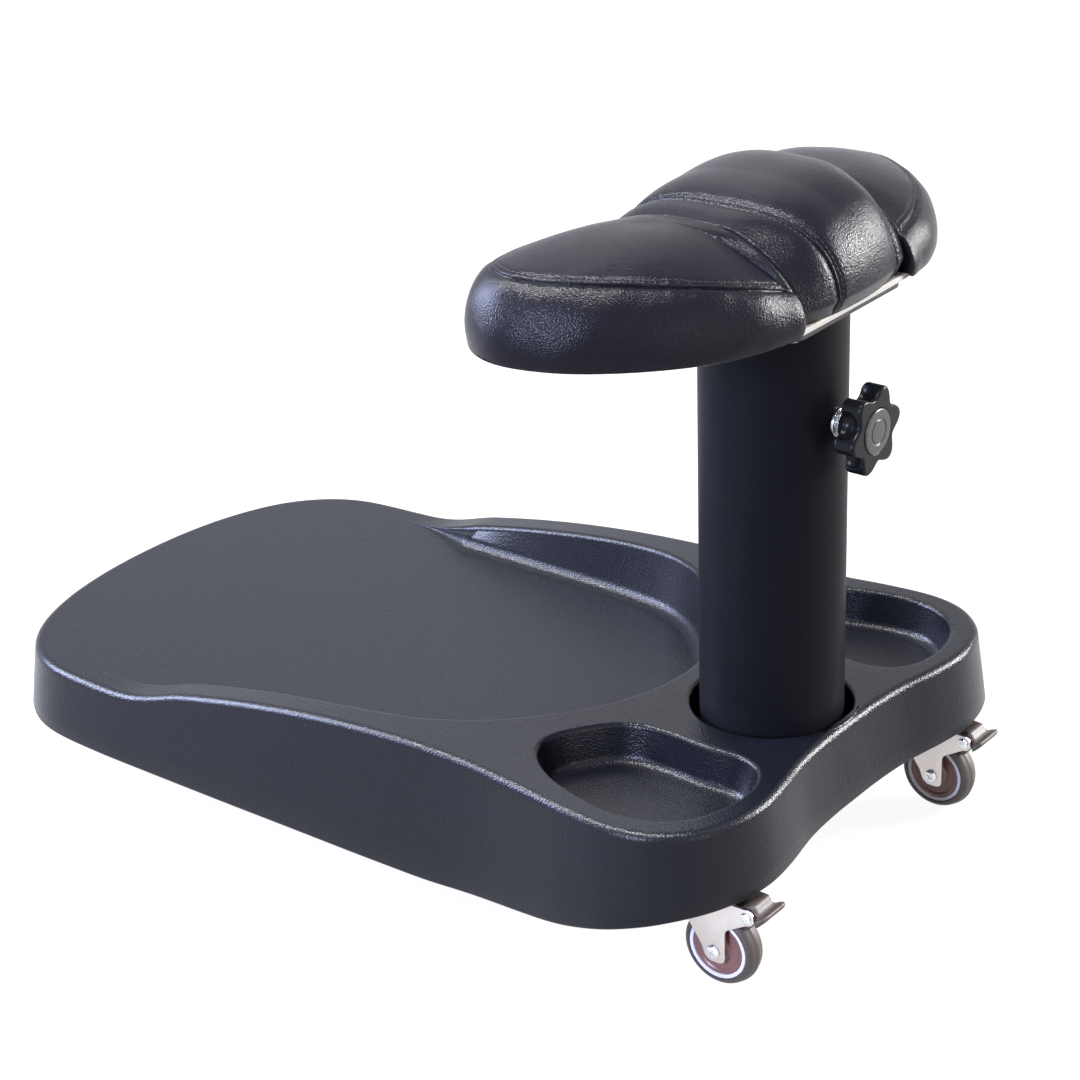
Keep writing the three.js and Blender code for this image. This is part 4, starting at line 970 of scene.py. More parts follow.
def grid_normals(grid, closed_rings):
    """Normals of a grid of rings, from the neighbours of each point."""
    if closed_rings:
        along = np.roll(grid, -1, axis=1) - np.roll(grid, 1, axis=1)
    else:
        along = np.gradient(grid, axis=1)
    normal = np.cross(along, np.gradient(grid, axis=0))
    return normal / np.maximum(np.linalg.norm(normal, axis=2, keepdims=True), 1e-12)


def waver(run, seed, longest, shortest):
    """A smooth random line along a run, made of a few sine waves, between about -1 and 1."""
    chance = np.random.default_rng(seed)
    lengths = chance.uniform(shortest, longest, 9)
    phases = chance.uniform(0, 2 * math.pi, 9)
    return sum(np.sin(2 * math.pi * run / w + p) for w, p in zip(lengths, phases)) / 3


# %% [markdown]
# A wing is drawn from its foot up: a lip that wraps the edge of the board, a full side panel, a welted
# seam and a softly crowned top. The seam stands lower where the wing meets the middle cushion and behind.
# Each level of the mesh is a ring that follows the outline.

# %% Wing form
lip_drop, lip_inset = 0.0034, 0.0046
end_crown, end_front_reach, end_back_reach, end_proud, end_round = 0.0635, 0.080, 0.098, 0.0005, 0.005
seam_inset, tip_lean, ring_spacing, wall_steps, side_steps = 0.014, 0.007, 0.0011, 150, 20
front_seam_root, front_seam_rise, back_seam_root, back_seam_rise = 0.030, 0.0255, 0.048, 0.007
wing_apex_share, wing_apex_back, wing_top, wall_calm = 0.15, 0.025, 0.0660, 0.035


def open_side():
    """The wing's outline from the front corner of its inner wall round the tip to the back corner."""
    line = outline(wing_points, ring_spacing, 0.003)
    keep = line[:, 1] > wing_root + 0.004
    first = int(np.flatnonzero(keep & ~np.roll(keep, 1))[0])
    line = np.roll(line, -first, axis=0)[:int(keep.sum())]
    ends = []
    for near, far in ((line[0], line[6]), (line[-1], line[-7])):
        ends.append(near + (near - far) / (near - far)[1] * (wing_root - near[1]))
    line = np.vstack([ends[0], line, ends[1]])
    run = np.concatenate([[0], np.cumsum(np.linalg.norm(np.diff(line, axis=0), axis=1))])
    at = np.linspace(0, run[-1], int(run[-1] / ring_spacing))
    return np.column_stack([np.interp(at, run, line[:, k]) for k in (0, 1)]), at


side_line, side_run = open_side()
side_along = np.gradient(side_line, axis=0)
side_normal = (np.column_stack([side_along[:, 1], -side_along[:, 0]])
               / np.linalg.norm(side_along, axis=1)[:, None])
wall_share = np.linspace(0, 1, wall_steps + 2)[1:-1]
side_tip = np.clip((side_line[:, 1] - wing_root) / (wing_tip - wing_root), 0, 1)
corner_fade = ease(np.minimum(side_run, side_run[-1] - side_run) / 0.005)


def end_profile(x):
    """Height of the cushions where wing and middle meet: an ellipse in front, fuller behind."""
    past = x + crest_setback
    front = np.sqrt(1 - np.clip(past / end_front_reach, 0, 0.97) ** 2)
    behind = (1 - np.clip(-past / end_back_reach, 0, 0.97) ** 3) ** 0.4
    return end_crown * np.where(past > 0, front, behind)


def wing_side(inset, wall_inset):
    """Plan of one ring: the outline drawn in by inset, closed by the straight inner wall."""
    side = side_line - side_normal * np.broadcast_to(inset, len(side_line))[:, None]
    side[:, 1] = np.maximum(side[:, 1], wing_root + wall_inset)
    wall = np.column_stack([side[-1, 0] + (side[0, 0] - side[-1, 0]) * wall_share,
                            np.full(wall_steps, wing_root + wall_inset)])
    return smoothed(np.vstack([side, wall]), 0.0022, ring_spacing)


def wing_grid(tip_fall, top):
    """Rings from the foot to the top; tip_fall lowers the seam towards the tip, top is the highest point."""
    front = front_seam_root + front_seam_rise * np.sin(side_tip * math.pi / 2)
    back = (back_seam_root + back_seam_rise * side_tip) * min(top / end_crown, 1)
    share = ease((side_line[:, 0] + 0.100) / 0.090)
    seam = front * share + back * (1 - share) - tip_fall * side_tip
    wall_x = (side_line[-1, 0] + seam_inset
              + (side_line[0, 0] - side_line[-1, 0] - 2 * seam_inset) * wall_share)
    wall_top = end_profile(wall_x) * top / wing_top + end_proud
    wall_top += (seam[-1] - wall_top[0]) * (1 - wall_share) ** 3 + (seam[0] - wall_top[-1]) * wall_share ** 3
    edge = np.append(seam, wall_top)
    fade = np.append(corner_fade, np.zeros(wall_steps))

    def ring(inset, height, wall_inset=0.0):
        return np.column_stack([wing_side(inset, wall_inset), cushion_foot + height])

    zero = np.zeros(len(edge))
    rings = [ring(0.030, zero), ring(0.015, zero), ring(lip_inset + 0.001, zero), ring(lip_inset, zero)]
    rings += [ring(lip_inset, -0.4 * lip_drop * fade), ring(lip_inset, -0.8 * lip_drop * fade),
              ring(lip_inset - 0.0006, -lip_drop * fade), ring(0.0028, -lip_drop * fade)]
    lip_row = len(rings)
    close = np.array([0.115, 0.09, 0.07, 0.052, 0.038, 0.027, 0.018, 0.010, 0.004, 0.0])
    for t in np.concatenate([np.linspace(0, 0.86, side_steps), 1 - close]):
        bend = [(1 - t) ** 3, 3 * t * (1 - t) ** 2, 3 * t * t * (1 - t), t ** 3]
        inset = (bend[0] * 0.0016 - bend[1] * 0.0032 + bend[2] * 0.0010
                 + bend[3] * (seam_inset + tip_lean * side_tip ** 2))
        turn = math.pi / 2 * max(t - 0.86, 0) / 0.14
        side_height = (bend[0] * -0.8 * lip_drop * corner_fade
                       + (0.22 * bend[1] + 0.78 * bend[2] + bend[3]) * seam)
        wall_height = (wall_top - end_round) * min(t / 0.86, 1) + end_round * math.sin(turn)
        rings.append(ring(inset, np.append(side_height, wall_height), end_round * (1 - math.cos(turn))))
    seam_row = len(rings) - 1
    apex = np.array([-crest_setback - wing_apex_back, wing_root + wing_apex_share * (wing_tip - wing_root)])
    fine_steps = np.array([
        0.0006, 0.0012, 0.0018, 0.0025, 0.0032, 0.004, 0.0048, 0.0056, 0.0065, 0.008]) / 0.080
    for s in np.concatenate([fine_steps, np.linspace(0.125, 0.95, 30)]):
        flat = rings[seam_row][:, :2] * (1 - s) + apex * s
        lift = math.sin(min(s * 1.05, 1) * math.pi / 2)
        rings.append(np.column_stack([flat, cushion_foot + edge * (1 - lift) + top * lift]))
    held = np.zeros((len(rings), len(edge)), bool)
    held[:lip_row + 3] = True
    held[seam_row - 3:seam_row + 4] = True
    held[:seam_row + 4, -wall_steps - 4:] = held[:seam_row + 4, :4] = True
    return np.array(rings), held, lip_row, seam_row, fade


print("wing outline", len(side_line), "points and a wall of", wall_steps)

# %% [markdown]
# The welt is where the top panel and the side panel are sewn together. The foam is pulled in along it, the
# folded edge stands up as a thin ridge, and a row of stitches runs beside it in a shallow groove. Small
# puckers cross the seam and die out in the panels.

# %% Wing seams
stitch_pitch = 0.0042


def seam_relief(away, groove, ridge, stitch_at):
    """Height across a seam, by the distance from it in metres: groove, folded ridge, stitch grooves."""
    depth = -groove * np.exp(-(away / 0.0034) ** 2) - 0.7 * groove * np.exp(-((away + 0.0012) / 0.0008) ** 2)
    depth = depth + ridge * np.exp(-((away - 0.0006) / 0.0007) ** 2)
    for place in np.atleast_1d(stitch_at):
        depth = depth - 0.0004 * np.exp(-((away - place) / 0.0009) ** 2)
    return depth


def puckers(run, away, seed, depth, reach):
    """Small folds across a seam: irregular ones, and the regular draw of the stitches."""
    folds = depth * waver(run, seed, 0.021, 0.007) * np.exp(-(np.maximum(np.abs(away) - 0.001, 0) / reach))
    folds = folds * (1 - np.exp(-(away / 0.0015) ** 2))
    return folds + (0.00010 * np.cos(2 * math.pi * run / stitch_pitch)
                    * np.exp(-((np.abs(away) - 0.003) / 0.0016) ** 2))


def run_along(row):
    """Distance along a closed ring of points."""
    step = np.linalg.norm(np.diff(row, axis=0, append=row[:1]), axis=1)
    return np.concatenate([[0], np.cumsum(step)[:-1]])


def sewn_wing(side_name, hand, tip_fall, top, seed):
    grid, held, lip_row, seam_row, fade = wing_grid(tip_fall, top)
    loose = ease((grid[:, :, 1:2] - wing_root) / wall_calm)
    grid = grid + (swollen(grid, held, 2, 6, True, (0, -1)) - grid) * loose
    normal = grid_normals(grid, True)
    step = np.linalg.norm(np.diff(grid, axis=0), axis=2)
    height = np.concatenate([np.zeros((1, grid.shape[1])), np.cumsum(step, axis=0)])
    away = height - height[seam_row]
    run = run_along(grid[seam_row])
    shown = fade[None, :]
    above_lip = ease((height - height[lip_row]) / 0.006) * ease((height[-1] - height) / 0.040)
    moved = seam_relief(away, 0.0014, 0.0011, 0.0050) * shown
    moved = moved + puckers(run[None, :], away, seed, 0.00014, 0.006) * shown * above_lip
    slow = 0.0003 * waver(run[None, :] + 0.7 * away, seed + 7, 0.09, 0.03)
    moved = moved + slow * above_lip * shown * np.exp(-np.maximum(away, 0) / 0.012)
    outwards = 1.0 if normal[seam_row + 12, 0, 2] > 0 else -1.0
    grid = grid + normal * outwards * moved[:, :, None]
    stitch_row = seam_row + 1 + np.argmin(np.abs(away[seam_row + 1:] - 0.0050), axis=0)
    pick = np.flatnonzero(fade > 0.9)
    path = grid[stitch_row[pick], pick] + normal[stitch_row[pick], pick] * outwards * 0.0001
    mirror = np.array([1, hand, 1])
    place = np.array(axis_foot)
    count = grid.shape[1]
    faces = bridged(list(grid)) + [
        tuple(range(count)), tuple(range((len(grid) - 1) * count, len(grid) * count))]
    piece = new_piece("wing_" + side_name, grid.reshape(-1, 3) * mirror + place, faces, leather, 50.0)
    return piece, smoothed_open(path, 3) * mirror + place


stitch_paths = []
for side_name, hand, tip_fall, top, seed in (("right", 1, 0.017, 0.0548, 11), ("left", -1, 0.0, 0.0690, 23)):
    piece, path = sewn_wing(side_name, hand, tip_fall, top, seed)
    settle(piece, "carrier", "cushion_leather", "cushion_" + side_name)
    stitch_paths.append(path)

# %% [markdown]
# The middle cushion is a run of upright sections from one wing to the other. Its crowned panel is sewn to
# a lower band on each side, and the seam between them comes closer to the middle at the front. The rows of
# the mesh follow that seam, so that the groove and the stitches run exactly along it.

# %% Middle cushion
centre_half, centre_crown, front_bow = 0.0700, 0.0790, 0.009
welt_crowns, welt_fronts, welt_backs = {-1: 0.0700, 1: 0.0765}, {-1: 0.030, 1: 0.053}, {-1: 0.044, 1: 0.064}
section_steps, welt_share = 220, 0.6
fine = np.array([0.0, 0.0007, 0.0014, 0.0021, 0.0028, 0.0036, 0.0045, 0.0055, 0.0065, 0.008, 0.010]) / 0.070
across = np.concatenate([
    welt_share - fine, welt_share + fine, np.linspace(0, 0.44, 13), np.linspace(0.76, 0.97, 8)])
across = np.unique(np.round(np.concatenate([across, -across]), 5))
theta = np.linspace(0, math.pi, section_steps)
shoulder_round = 0.006


def welt_place(turn, side):
    """Half width of the crowned panel at a turn of the section, from the front foot (0) to the back."""
    return welt_fronts[side] + (welt_backs[side] - welt_fronts[side]) * ease(turn / (0.6 * math.pi))


def centre_point(turn, share):
    """A point of the middle cushion: turn round the section, share across the width."""
    away, side = abs(share), 1 if share > 0 else -1
    half, welt_crown = float(welt_place(turn, side)), welt_crowns[side]
    if away < welt_share:
        across_y = away / welt_share * half
        crown = centre_crown + (welt_crown - centre_crown) * (away / welt_share) ** (3.0 if side < 0 else 5.0)
        crown += 0.0022 * max(side, 0) * math.sin(math.pi * away / welt_share)
    else:
        part = (away - welt_share) / (1 - welt_share)
        across_y = half + (centre_half - half) * part
        crown = welt_crown + (end_crown - welt_crown) * part
        crown += 0.0022 * math.sin(math.pi * part) * (half < 0.05)
    bow = front_bow * (across_y / centre_half) ** 2
    forward = turn < math.pi / 2
    squareness = float(ease((across_y - 0.036) / 0.034)) * ease(math.cos(turn) / 0.5)
    reach = (cushion_front - bow + crest_setback) if forward else (cushion_back - crest_setback)
    power = (0.667 + 0.333 * squareness)
    height = crown * math.sin(turn) ** (0.8 + 0.2 * squareness)
    foot = 0.007 * max(1 - height / 0.012, 0) if forward else 0.006 * max(1 - height / 0.012, 0)
    x = (reach - foot) * abs(math.cos(turn)) ** power * (1 if forward else -1) - crest_setback
    return x, math.copysign(across_y, share), cushion_foot + max(height, 0.0)


centre_grid = np.array([[centre_point(t, s) for t in theta] for s in across])
centre_core = np.array([-crest_setback, 0.0, cushion_foot + 0.03])
ends = []
for side in (-1, 1):
    edge = centre_grid[0 if side < 0 else -1]
    rows = []
    for angle in np.linspace(0, math.pi / 2, 5)[1:]:
        shrink = shoulder_round * (1 - math.cos(angle)) / 0.06
        row = edge + (centre_core - edge) * np.array([shrink, 0, shrink])
        row[:, 1] = edge[:, 1] + side * (centre_half - abs(edge[:, 1])) * math.sin(angle)
        row[:, 2] = np.maximum(row[:, 2], cushion_foot)
        rows.append(row)
    ends.append(rows)
full_grid = np.array(ends[0][::-1] + list(centre_grid) + ends[1])
end_rows = len(ends[0])
shares = np.concatenate([[-1] * end_rows, across, [1] * end_rows])
centre_held = np.zeros(full_grid.shape[:2], bool)
centre_held[:end_rows + 1] = centre_held[-end_rows - 1:] = True
centre_held[:, :5] = centre_held[:, -5:] = True
centre_held[np.abs(np.abs(shares) - welt_share) < 0.02] = True
full_grid = swollen(full_grid, centre_held, 2, 3, False, (0, -1))

normal = grid_normals(full_grid, False)
normal *= 1.0 if normal[len(shares) // 2, section_steps // 2, 2] > 0 else -1.0
relief_height = np.zeros(full_grid.shape[:2])
run = np.concatenate([[0], np.cumsum(np.linalg.norm(np.diff(full_grid[len(shares) // 2], axis=0), axis=1))])
step = np.linalg.norm(np.diff(full_grid, axis=0), axis=2)
width_run = np.concatenate([np.zeros((1, section_steps)), np.cumsum(step, axis=0)])
for side in (-1, 1):
    row = int(np.argmin(np.abs(shares - side * welt_share)))
    away = -side * (width_run - width_run[row])
    relief_height += seam_relief(away, 0.0020, 0.0010, (0.0040, -0.0042))
    relief_height += puckers(run[None, :], away, 31 + side, 0.00015, 0.006)
shown = ease(run / 0.008) * ease((run[-1] - run) / 0.008)
relief_height *= shown[None, :]
relief_height[:end_rows] = relief_height[-end_rows:] = 0
full_grid = full_grid + normal * relief_height[:, :, None]
full_grid[:, 0, 2] = full_grid[:, -1, 2] = cushion_foot
for side in (-1, 1):
    row = int(np.argmin(np.abs(shares - side * welt_share)))
    for distance in (0.0040, -0.0042):
        away = -side * (width_run - width_run[row])
        near = np.argmin(np.abs(away - distance), axis=0)
        pick = np.arange(section_steps)
        path = full_grid[near, pick] + normal[near, pick] * 0.0002
        stitch_paths.append(smoothed_open(path, 12)[5:-5] + np.array(axis_foot))

rows_count, columns_count = full_grid.shape[:2]
faces = bridged(list(full_grid), closed_rings=False)
faces.append(tuple(range(columns_count)))
faces.append(tuple(range((rows_count - 1) * columns_count, rows_count * columns_count)))
front_foot = [j * columns_count for j in range(rows_count)]
back_foot = [j * columns_count + columns_count - 1 for j in range(rows_count)]
faces += [(front_foot[j], front_foot[j + 1], back_foot[j + 1], back_foot[j]) for j in range(rows_count - 1)]
middle_cushion = new_piece(
    "middle_cushion", full_grid.reshape(-1, 3) + np.array(axis_foot), faces, leather, 50.0)
settle(middle_cushion, "carrier", "cushion_leather", "cushion_centre")

# %% [markdown]
# Stitches repeat along a path, which is a job for Geometry Nodes: the path is resampled at the stitch
# length, a short rounded thread is placed on each point along the path's direction, and the copies are
# realised. One tree serves all rows, and its stitch length, thread length and thickness are its inputs.

# %% Stitch tree
def node_tree(name, floats):
    """An empty geometry tree with a geometry input and named lengths."""
    tree = bpy.data.node_groups.new(name, "GeometryNodeTree")
    tree.interface.new_socket("Geometry", in_out="OUTPUT", socket_type="NodeSocketGeometry")
    tree.interface.new_socket("Geometry", in_out="INPUT", socket_type="NodeSocketGeometry")
    for label, value in floats.items():
        socket = tree.interface.new_socket(label, in_out="INPUT", socket_type="NodeSocketFloat")
        socket.default_value = value
    return tree, tree.nodes.new("NodeGroupInput"), tree.nodes.new("NodeGroupOutput")


def through_tree(piece, tree, **values):
    """The piece turned into the plain mesh that the tree makes of it."""
    modifier = piece.modifiers.new(tree.name, "NODES")
    modifier.node_group = tree
    for item in tree.interface.items_tree:
        if item.item_type == "SOCKET" and item.in_out == "INPUT" and item.name in values:
            modifier[item.identifier] = values[item.name]
    bpy.context.view_layer.update()
    mesh = bpy.data.meshes.new_from_object(piece.evaluated_get(bpy.context.evaluated_depsgraph_get()))
    name = piece.name
    bpy.data.objects.remove(piece)
    result = bpy.data.objects.new(name, mesh)
    mesh.name = name
    bpy.context.scene.collection.objects.link(result)
    return result


def stitch_tree(material):
    tree, given, made = node_tree("stitch_row", {"Stitch": 0.0042, "Thread": 0.0029, "Thickness": 0.0011})
    link, new = tree.links.new, tree.nodes.new
    resample = new("GeometryNodeResampleCurve")
    resample.mode = "LENGTH"
    link(given.outputs["Geometry"], resample.inputs["Curve"])
    link(given.outputs["Stitch"], resample.inputs["Length"])
    tangent = new("GeometryNodeInputTangent")
    turn = new("FunctionNodeAlignRotationToVector")
    turn.axis = "X"
    link(tangent.outputs[0], turn.inputs["Vector"])
    bead = new("GeometryNodeMeshUVSphere")
    bead.inputs["Segments"].default_value, bead.inputs["Rings"].default_value = 8, 6
    bead.inputs["Radius"].default_value = 0.5
    size = new("ShaderNodeCombineXYZ")
    link(given.outputs["Thread"], size.inputs["X"])
    link(given.outputs["Thickness"], size.inputs["Y"])
    link(given.outputs["Thickness"], size.inputs["Z"])
    place = new("GeometryNodeInstanceOnPoints")
    link(resample.outputs["Curve"], place.inputs["Points"])
    link(bead.outputs["Mesh"], place.inputs["Instance"])
    link(turn.outputs["Rotation"], place.inputs["Rotation"])
    link(size.outputs["Vector"], place.inputs["Scale"])
    realise = new("GeometryNodeRealizeInstances")
    link(place.outputs["Instances"], realise.inputs["Geometry"])
    paint = new("GeometryNodeSetMaterial")
    paint.inputs["Material"].default_value = material
    link(realise.outputs["Geometry"], paint.inputs["Geometry"])
    link(paint.outputs["Geometry"], made.inputs["Geometry"])
    return tree


path_curve = bpy.data.curves.new("leather_stitches", "CURVE")
path_curve.dimensions = "3D"
for path in stitch_paths:
    thread_line = path_curve.splines.new("POLY")
    thread_line.points.add(len(path) - 1)
    thread_line.points.foreach_set("co", np.column_stack([path, np.ones(len(path))]).ravel())
stitches = bpy.data.objects.new("leather_stitches", path_curve)
bpy.context.scene.collection.objects.link(stitches)
stitches = through_tree(stitches, stitch_tree(thread), Stitch=stitch_pitch, Thread=0.0030, Thickness=0.0008)
settle(stitches, "carrier", "cushion_leather")

# %% [markdown]
# The star knob is moulded plastic: a six-lobed disc with a finger scoop between each two lobes. The disc is
# swept from its polar outline, balls are cut out of it, and a fine voxel remesh with a little smoothing
# gives every cut edge the small, even radius of a mould. Its threaded stem is a true helix.

# %% Clamp knob
knob_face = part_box("knob")[1].x
knob_z = (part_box("clamp_insert")[0].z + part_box("clamp_insert")[1].z) / 2
knob_lobes, knob_mean, knob_lobe, knob_depth, knob_turn = 6, 0.029, 0.0041, 0.017, math.radians(8)
scoop_radius, scoop_reach, scoop_depth = 0.0105, 0.0305, 0.0118
cap_radius, cap_recess, hub_radius, knob_hub_length = 0.017, 0.0014, 0.012, 0.009
knob_steps, knob_voxel, knob_rounds = 240, 0.0005, 3
stem_radius, thread_pitch, thread_depth, rod_steps = 0.005, 0.0015, 0.0007, 40


def boolean(piece, tool, operation):
    cut = piece.modifiers.new("cut", "BOOLEAN")
    cut.object, cut.operation, cut.solver = tool, operation, "EXACT"
    applied(piece)
    bpy.data.objects.remove(tool)
    return piece


def moulded(piece, voxel, rounds, material):
    """One even skin over the piece, with every edge slightly rounded."""
    remesh = piece.modifiers.new("skin", "REMESH")
    remesh.mode, remesh.voxel_size, remesh.use_smooth_shade = "VOXEL", voxel, True
    smooth = piece.modifiers.new("radius", "SMOOTH")
    smooth.factor, smooth.iterations = 0.5, rounds
    applied(piece)
    piece.data.materials.clear()
    piece.data.materials.append(material)
    piece.data.shade_smooth()
    return piece


def star_knob():
    angles = np.arange(knob_steps) * 2 * math.pi / knob_steps
    radius = knob_mean + knob_lobe * np.cos(knob_lobes * (angles - knob_turn))
    rings = []
    bevel = 0.0042
    for depth, inset in rounded(
            [(-knob_depth, 0.006), (-knob_depth, 0.0), (0.0, 0.0), (0.0, 0.006)], bevel, 6):
        r = radius - inset
        rings.append(np.column_stack([
            np.full(knob_steps, knob_face + depth), r * np.cos(angles), r * np.sin(angles) + knob_z]))
    faces = bridged(rings) + [
        tuple(range(knob_steps)), tuple(range((len(rings) - 1) * knob_steps, len(rings) * knob_steps))]
    star = new_piece("star_knob", np.concatenate(rings), faces, gloss_black)
    hub = revolve("knob_hub", rounded([
        (0, knob_face - knob_depth - knob_hub_length), (hub_radius, knob_face - knob_depth - knob_hub_length),
        (hub_radius * 1.15, knob_face - knob_depth + 0.002), (0, knob_face - knob_depth + 0.002),
    ], 0.001), gloss_black, (0, 0, knob_z), "X", 64)
    boolean(star, hub, "UNION")
    for i in range(knob_lobes):
        angle = (i + 0.5) * 2 * math.pi / knob_lobes + knob_turn
        bpy.ops.mesh.primitive_uv_sphere_add(segments=48, ring_count=32, radius=scoop_radius, location=(
            knob_face - scoop_depth, scoop_reach * math.cos(angle), knob_z + scoop_reach * math.sin(angle)))
        boolean(star, bpy.context.object, "DIFFERENCE")
    well = revolve("cap_well", [(0, knob_face - cap_recess), (cap_radius + fit, knob_face - cap_recess),
                                (cap_radius + fit, knob_face + 0.01), (0, knob_face + 0.01)],
                   gloss_black, (0, 0, knob_z), "X", 96)
    boolean(star, well, "DIFFERENCE")
    return moulded(star, knob_voxel, knob_rounds, gloss_black)


settle(star_knob(), "clamp_knob", "knob_plastic", "knob")

cap_low, cap_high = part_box("knob_cap")
cap = revolve("knob_face_cap", rounded([
    (0, cap_low.x), (cap_radius, cap_low.x), (cap_radius, cap_high.x - 0.0009),
    (cap_radius - 0.0008, cap_high.x - 0.0002), (0.0102, cap_high.x),
    (0.0098, cap_high.x - 0.0006), (0.0090, cap_high.x - 0.0006), (0.0086, cap_high.x),
    (0, cap_high.x),
], 0.0005), satin_black, (0, 0, knob_z), "X", 128)
settle(cap, "clamp_knob", "knob_plastic", "knob_cap")


def threaded_rod(name, start, end, radius, pitch, depth, material):
    """A rod along X whose radius follows a helix."""
    turns = np.arange(rod_steps) * 2 * math.pi / rod_steps
    rings = []
    for x in np.arange(start, end, pitch / 6):
        phase = (x / pitch + turns / (2 * math.pi)) % 1.0
        r = radius - depth * np.abs(2 * phase - 1) ** 1.3
        rings.append(np.column_stack([
            np.full(rod_steps, x), r * np.cos(turns), r * np.sin(turns) + knob_z]))
    faces = bridged(rings) + [
        tuple(range(rod_steps)), tuple(range((len(rings) - 1) * rod_steps, len(rings) * rod_steps))]
    return new_piece(name, np.concatenate(rings), faces, material, 80.0)


stem_low, stem_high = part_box("clamp_stem")
stem = threaded_rod("threaded_stem", stem_low.x, stem_high.x, stem_radius, thread_pitch, thread_depth, zinc)
settle(stem, "clamp_knob", "zinc_screws", "clamp_stem")

insert_low, insert_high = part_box("clamp_insert")
insert = revolve("threaded_insert", rounded([
    (0.0064, insert_low.x), (0.0075, insert_low.x), (0.0075, insert_high.x - 0.002),
    (0.0105, insert_high.x - 0.002),
    (0.0105, insert_high.x), (0.0053, insert_high.x), (0.0053, insert_low.x), (0.0064, insert_low.x),
], 0.0004), zinc, (0, 0, knob_z), "X", 72)
settle(insert, "base", "zinc_screws", "clamp_insert")

# %% [markdown]
# One caster is drawn round its kingpin and repeated at the four corners. The wheel is a soft tyre on a
# pale ring and a brown disc. The fork is one folded steel sheet: two cheeks with a front edge bent inwards,
# a bridge on top and, on the braked ones, an arm that carries the pedal's pin.

# %% Wheels
axle_trail, axle_height, wheel_radius, wheel_half = 0.024, 0.031, 0.031, 0.0095
tyre_bore, ring_thickness, hub_bore, hub_boss, hub_dish = 0.0246, 0.003, 0.0042, 0.0085, 0.0022
tyre_shoulder, shoulder_reach, tread_crown = 0.0062, 0.0052, 0.0010


def wheel_origin(caster):
    return (kingpin[caster].x + axle_trail, kingpin[caster].y, axle_height)


def tyre_profile():
    side, tread = [], []
    for angle in np.linspace(math.pi / 2, 0, 9):
        side.append((wheel_radius - tyre_shoulder + shoulder_reach * math.cos(angle),
                     -wheel_half + tyre_shoulder * (1 - math.sin(angle))))
    for y in np.linspace(-wheel_half + tyre_shoulder, 0, 4)[1:]:
        tread.append((wheel_radius - tread_crown * (abs(y) / (wheel_half - tyre_shoulder)) ** 2, y))
    half = [
        (tyre_bore, 0), (tyre_bore, -wheel_half + 0.0004), (tyre_bore + 0.0006, -wheel_half),
    ] + side + tread
    return half + [(r, -y) for r, y in half[-2::-1]]


for caster in casters:
    origin, body = wheel_origin(caster), caster + "_wheel"
    tyre = revolve(caster + "_soft_tyre", tyre_profile(), tyre_rubber, origin, "Y", 96, 60.0)
    settle(tyre, body, "tyre_rubber", caster + "_tyre")
    outer, inner = tyre_bore - fit, tyre_bore - fit - ring_thickness
    ring = revolve(caster + "_pale_ring",
                   ring_profile(outer, inner, -wheel_half + 0.0006, wheel_half - 0.0006, 0.0006),
                   pale_ring, origin, "Y", 96)
    settle(ring, body, "wheel_ring", caster + "_core")
    rim = inner - fit
    hub = revolve(caster + "_brown_disc", rounded([
        (hub_bore, 0), (hub_bore, -wheel_half), (hub_boss, -wheel_half),
        (hub_boss + hub_dish, -wheel_half + hub_dish),
        (rim - 0.0035, -wheel_half + hub_dish), (rim - 0.0022, -wheel_half + 0.0012),
        (rim, -wheel_half + 0.0012),
        (rim, wheel_half - 0.0012), (rim - 0.0022, wheel_half - 0.0012),
        (rim - 0.0035, wheel_half - hub_dish),
        (hub_boss + hub_dish, wheel_half - hub_dish), (hub_boss, wheel_half),
        (hub_bore, wheel_half), (hub_bore, 0),
    ], 0.0007), hub_plastic, origin, "Y", 96)
    settle(hub, body, "wheel_hub", caster + "_hub")

# %% Forks
fork_top, sheet_thickness, cheek_gap, arm_radius = 0.076, 0.002, 0.012, 0.0066
pivot = (axle_trail + 0.028, axle_height + 0.038)
bend_x, fork_back = axle_trail - 0.34 * wheel_radius, axle_trail + 0.31 * wheel_radius
fork_crown_radius, cheek_narrowing = 0.019, 0.105


def arc_points(x, z, radius, start, end, steps):
    return [(x + radius * math.cos(a), z + radius * math.sin(a)) for a in np.linspace(start, end, steps)]


def cheek_outline(has_brake):
    back, foot = fork_back, axle_height - 0.27 * wheel_radius
    corners = [
        (-0.66 * wheel_radius, fork_top), (-0.3 * wheel_radius, fork_top - 0.42 * wheel_radius),
        (bend_x, axle_height + 0.1 * wheel_radius), (bend_x + 0.1 * wheel_radius, foot + 0.1 * wheel_radius),
        (axle_trail - 0.1 * wheel_radius, foot), (back, foot),
    ]
    if has_brake:
        corners += [(back, axle_height + 0.0205), (pivot[0], pivot[1] - arm_radius)]
        nose = arc_points(*pivot, arm_radius, -math.pi / 2, math.pi / 2, 16)
        tail = [(pivot[0], pivot[1] + arm_radius), (back + 0.004, fork_top)]
        return (rounded(corners, 0.006, 6)[:-1] + nose
                + rounded(nose[-1:] + tail[1:] + corners[:1], 0.001)[1:-1])
    corners += [(back, fork_top)]
    return rounded(corners, 0.005, 6)


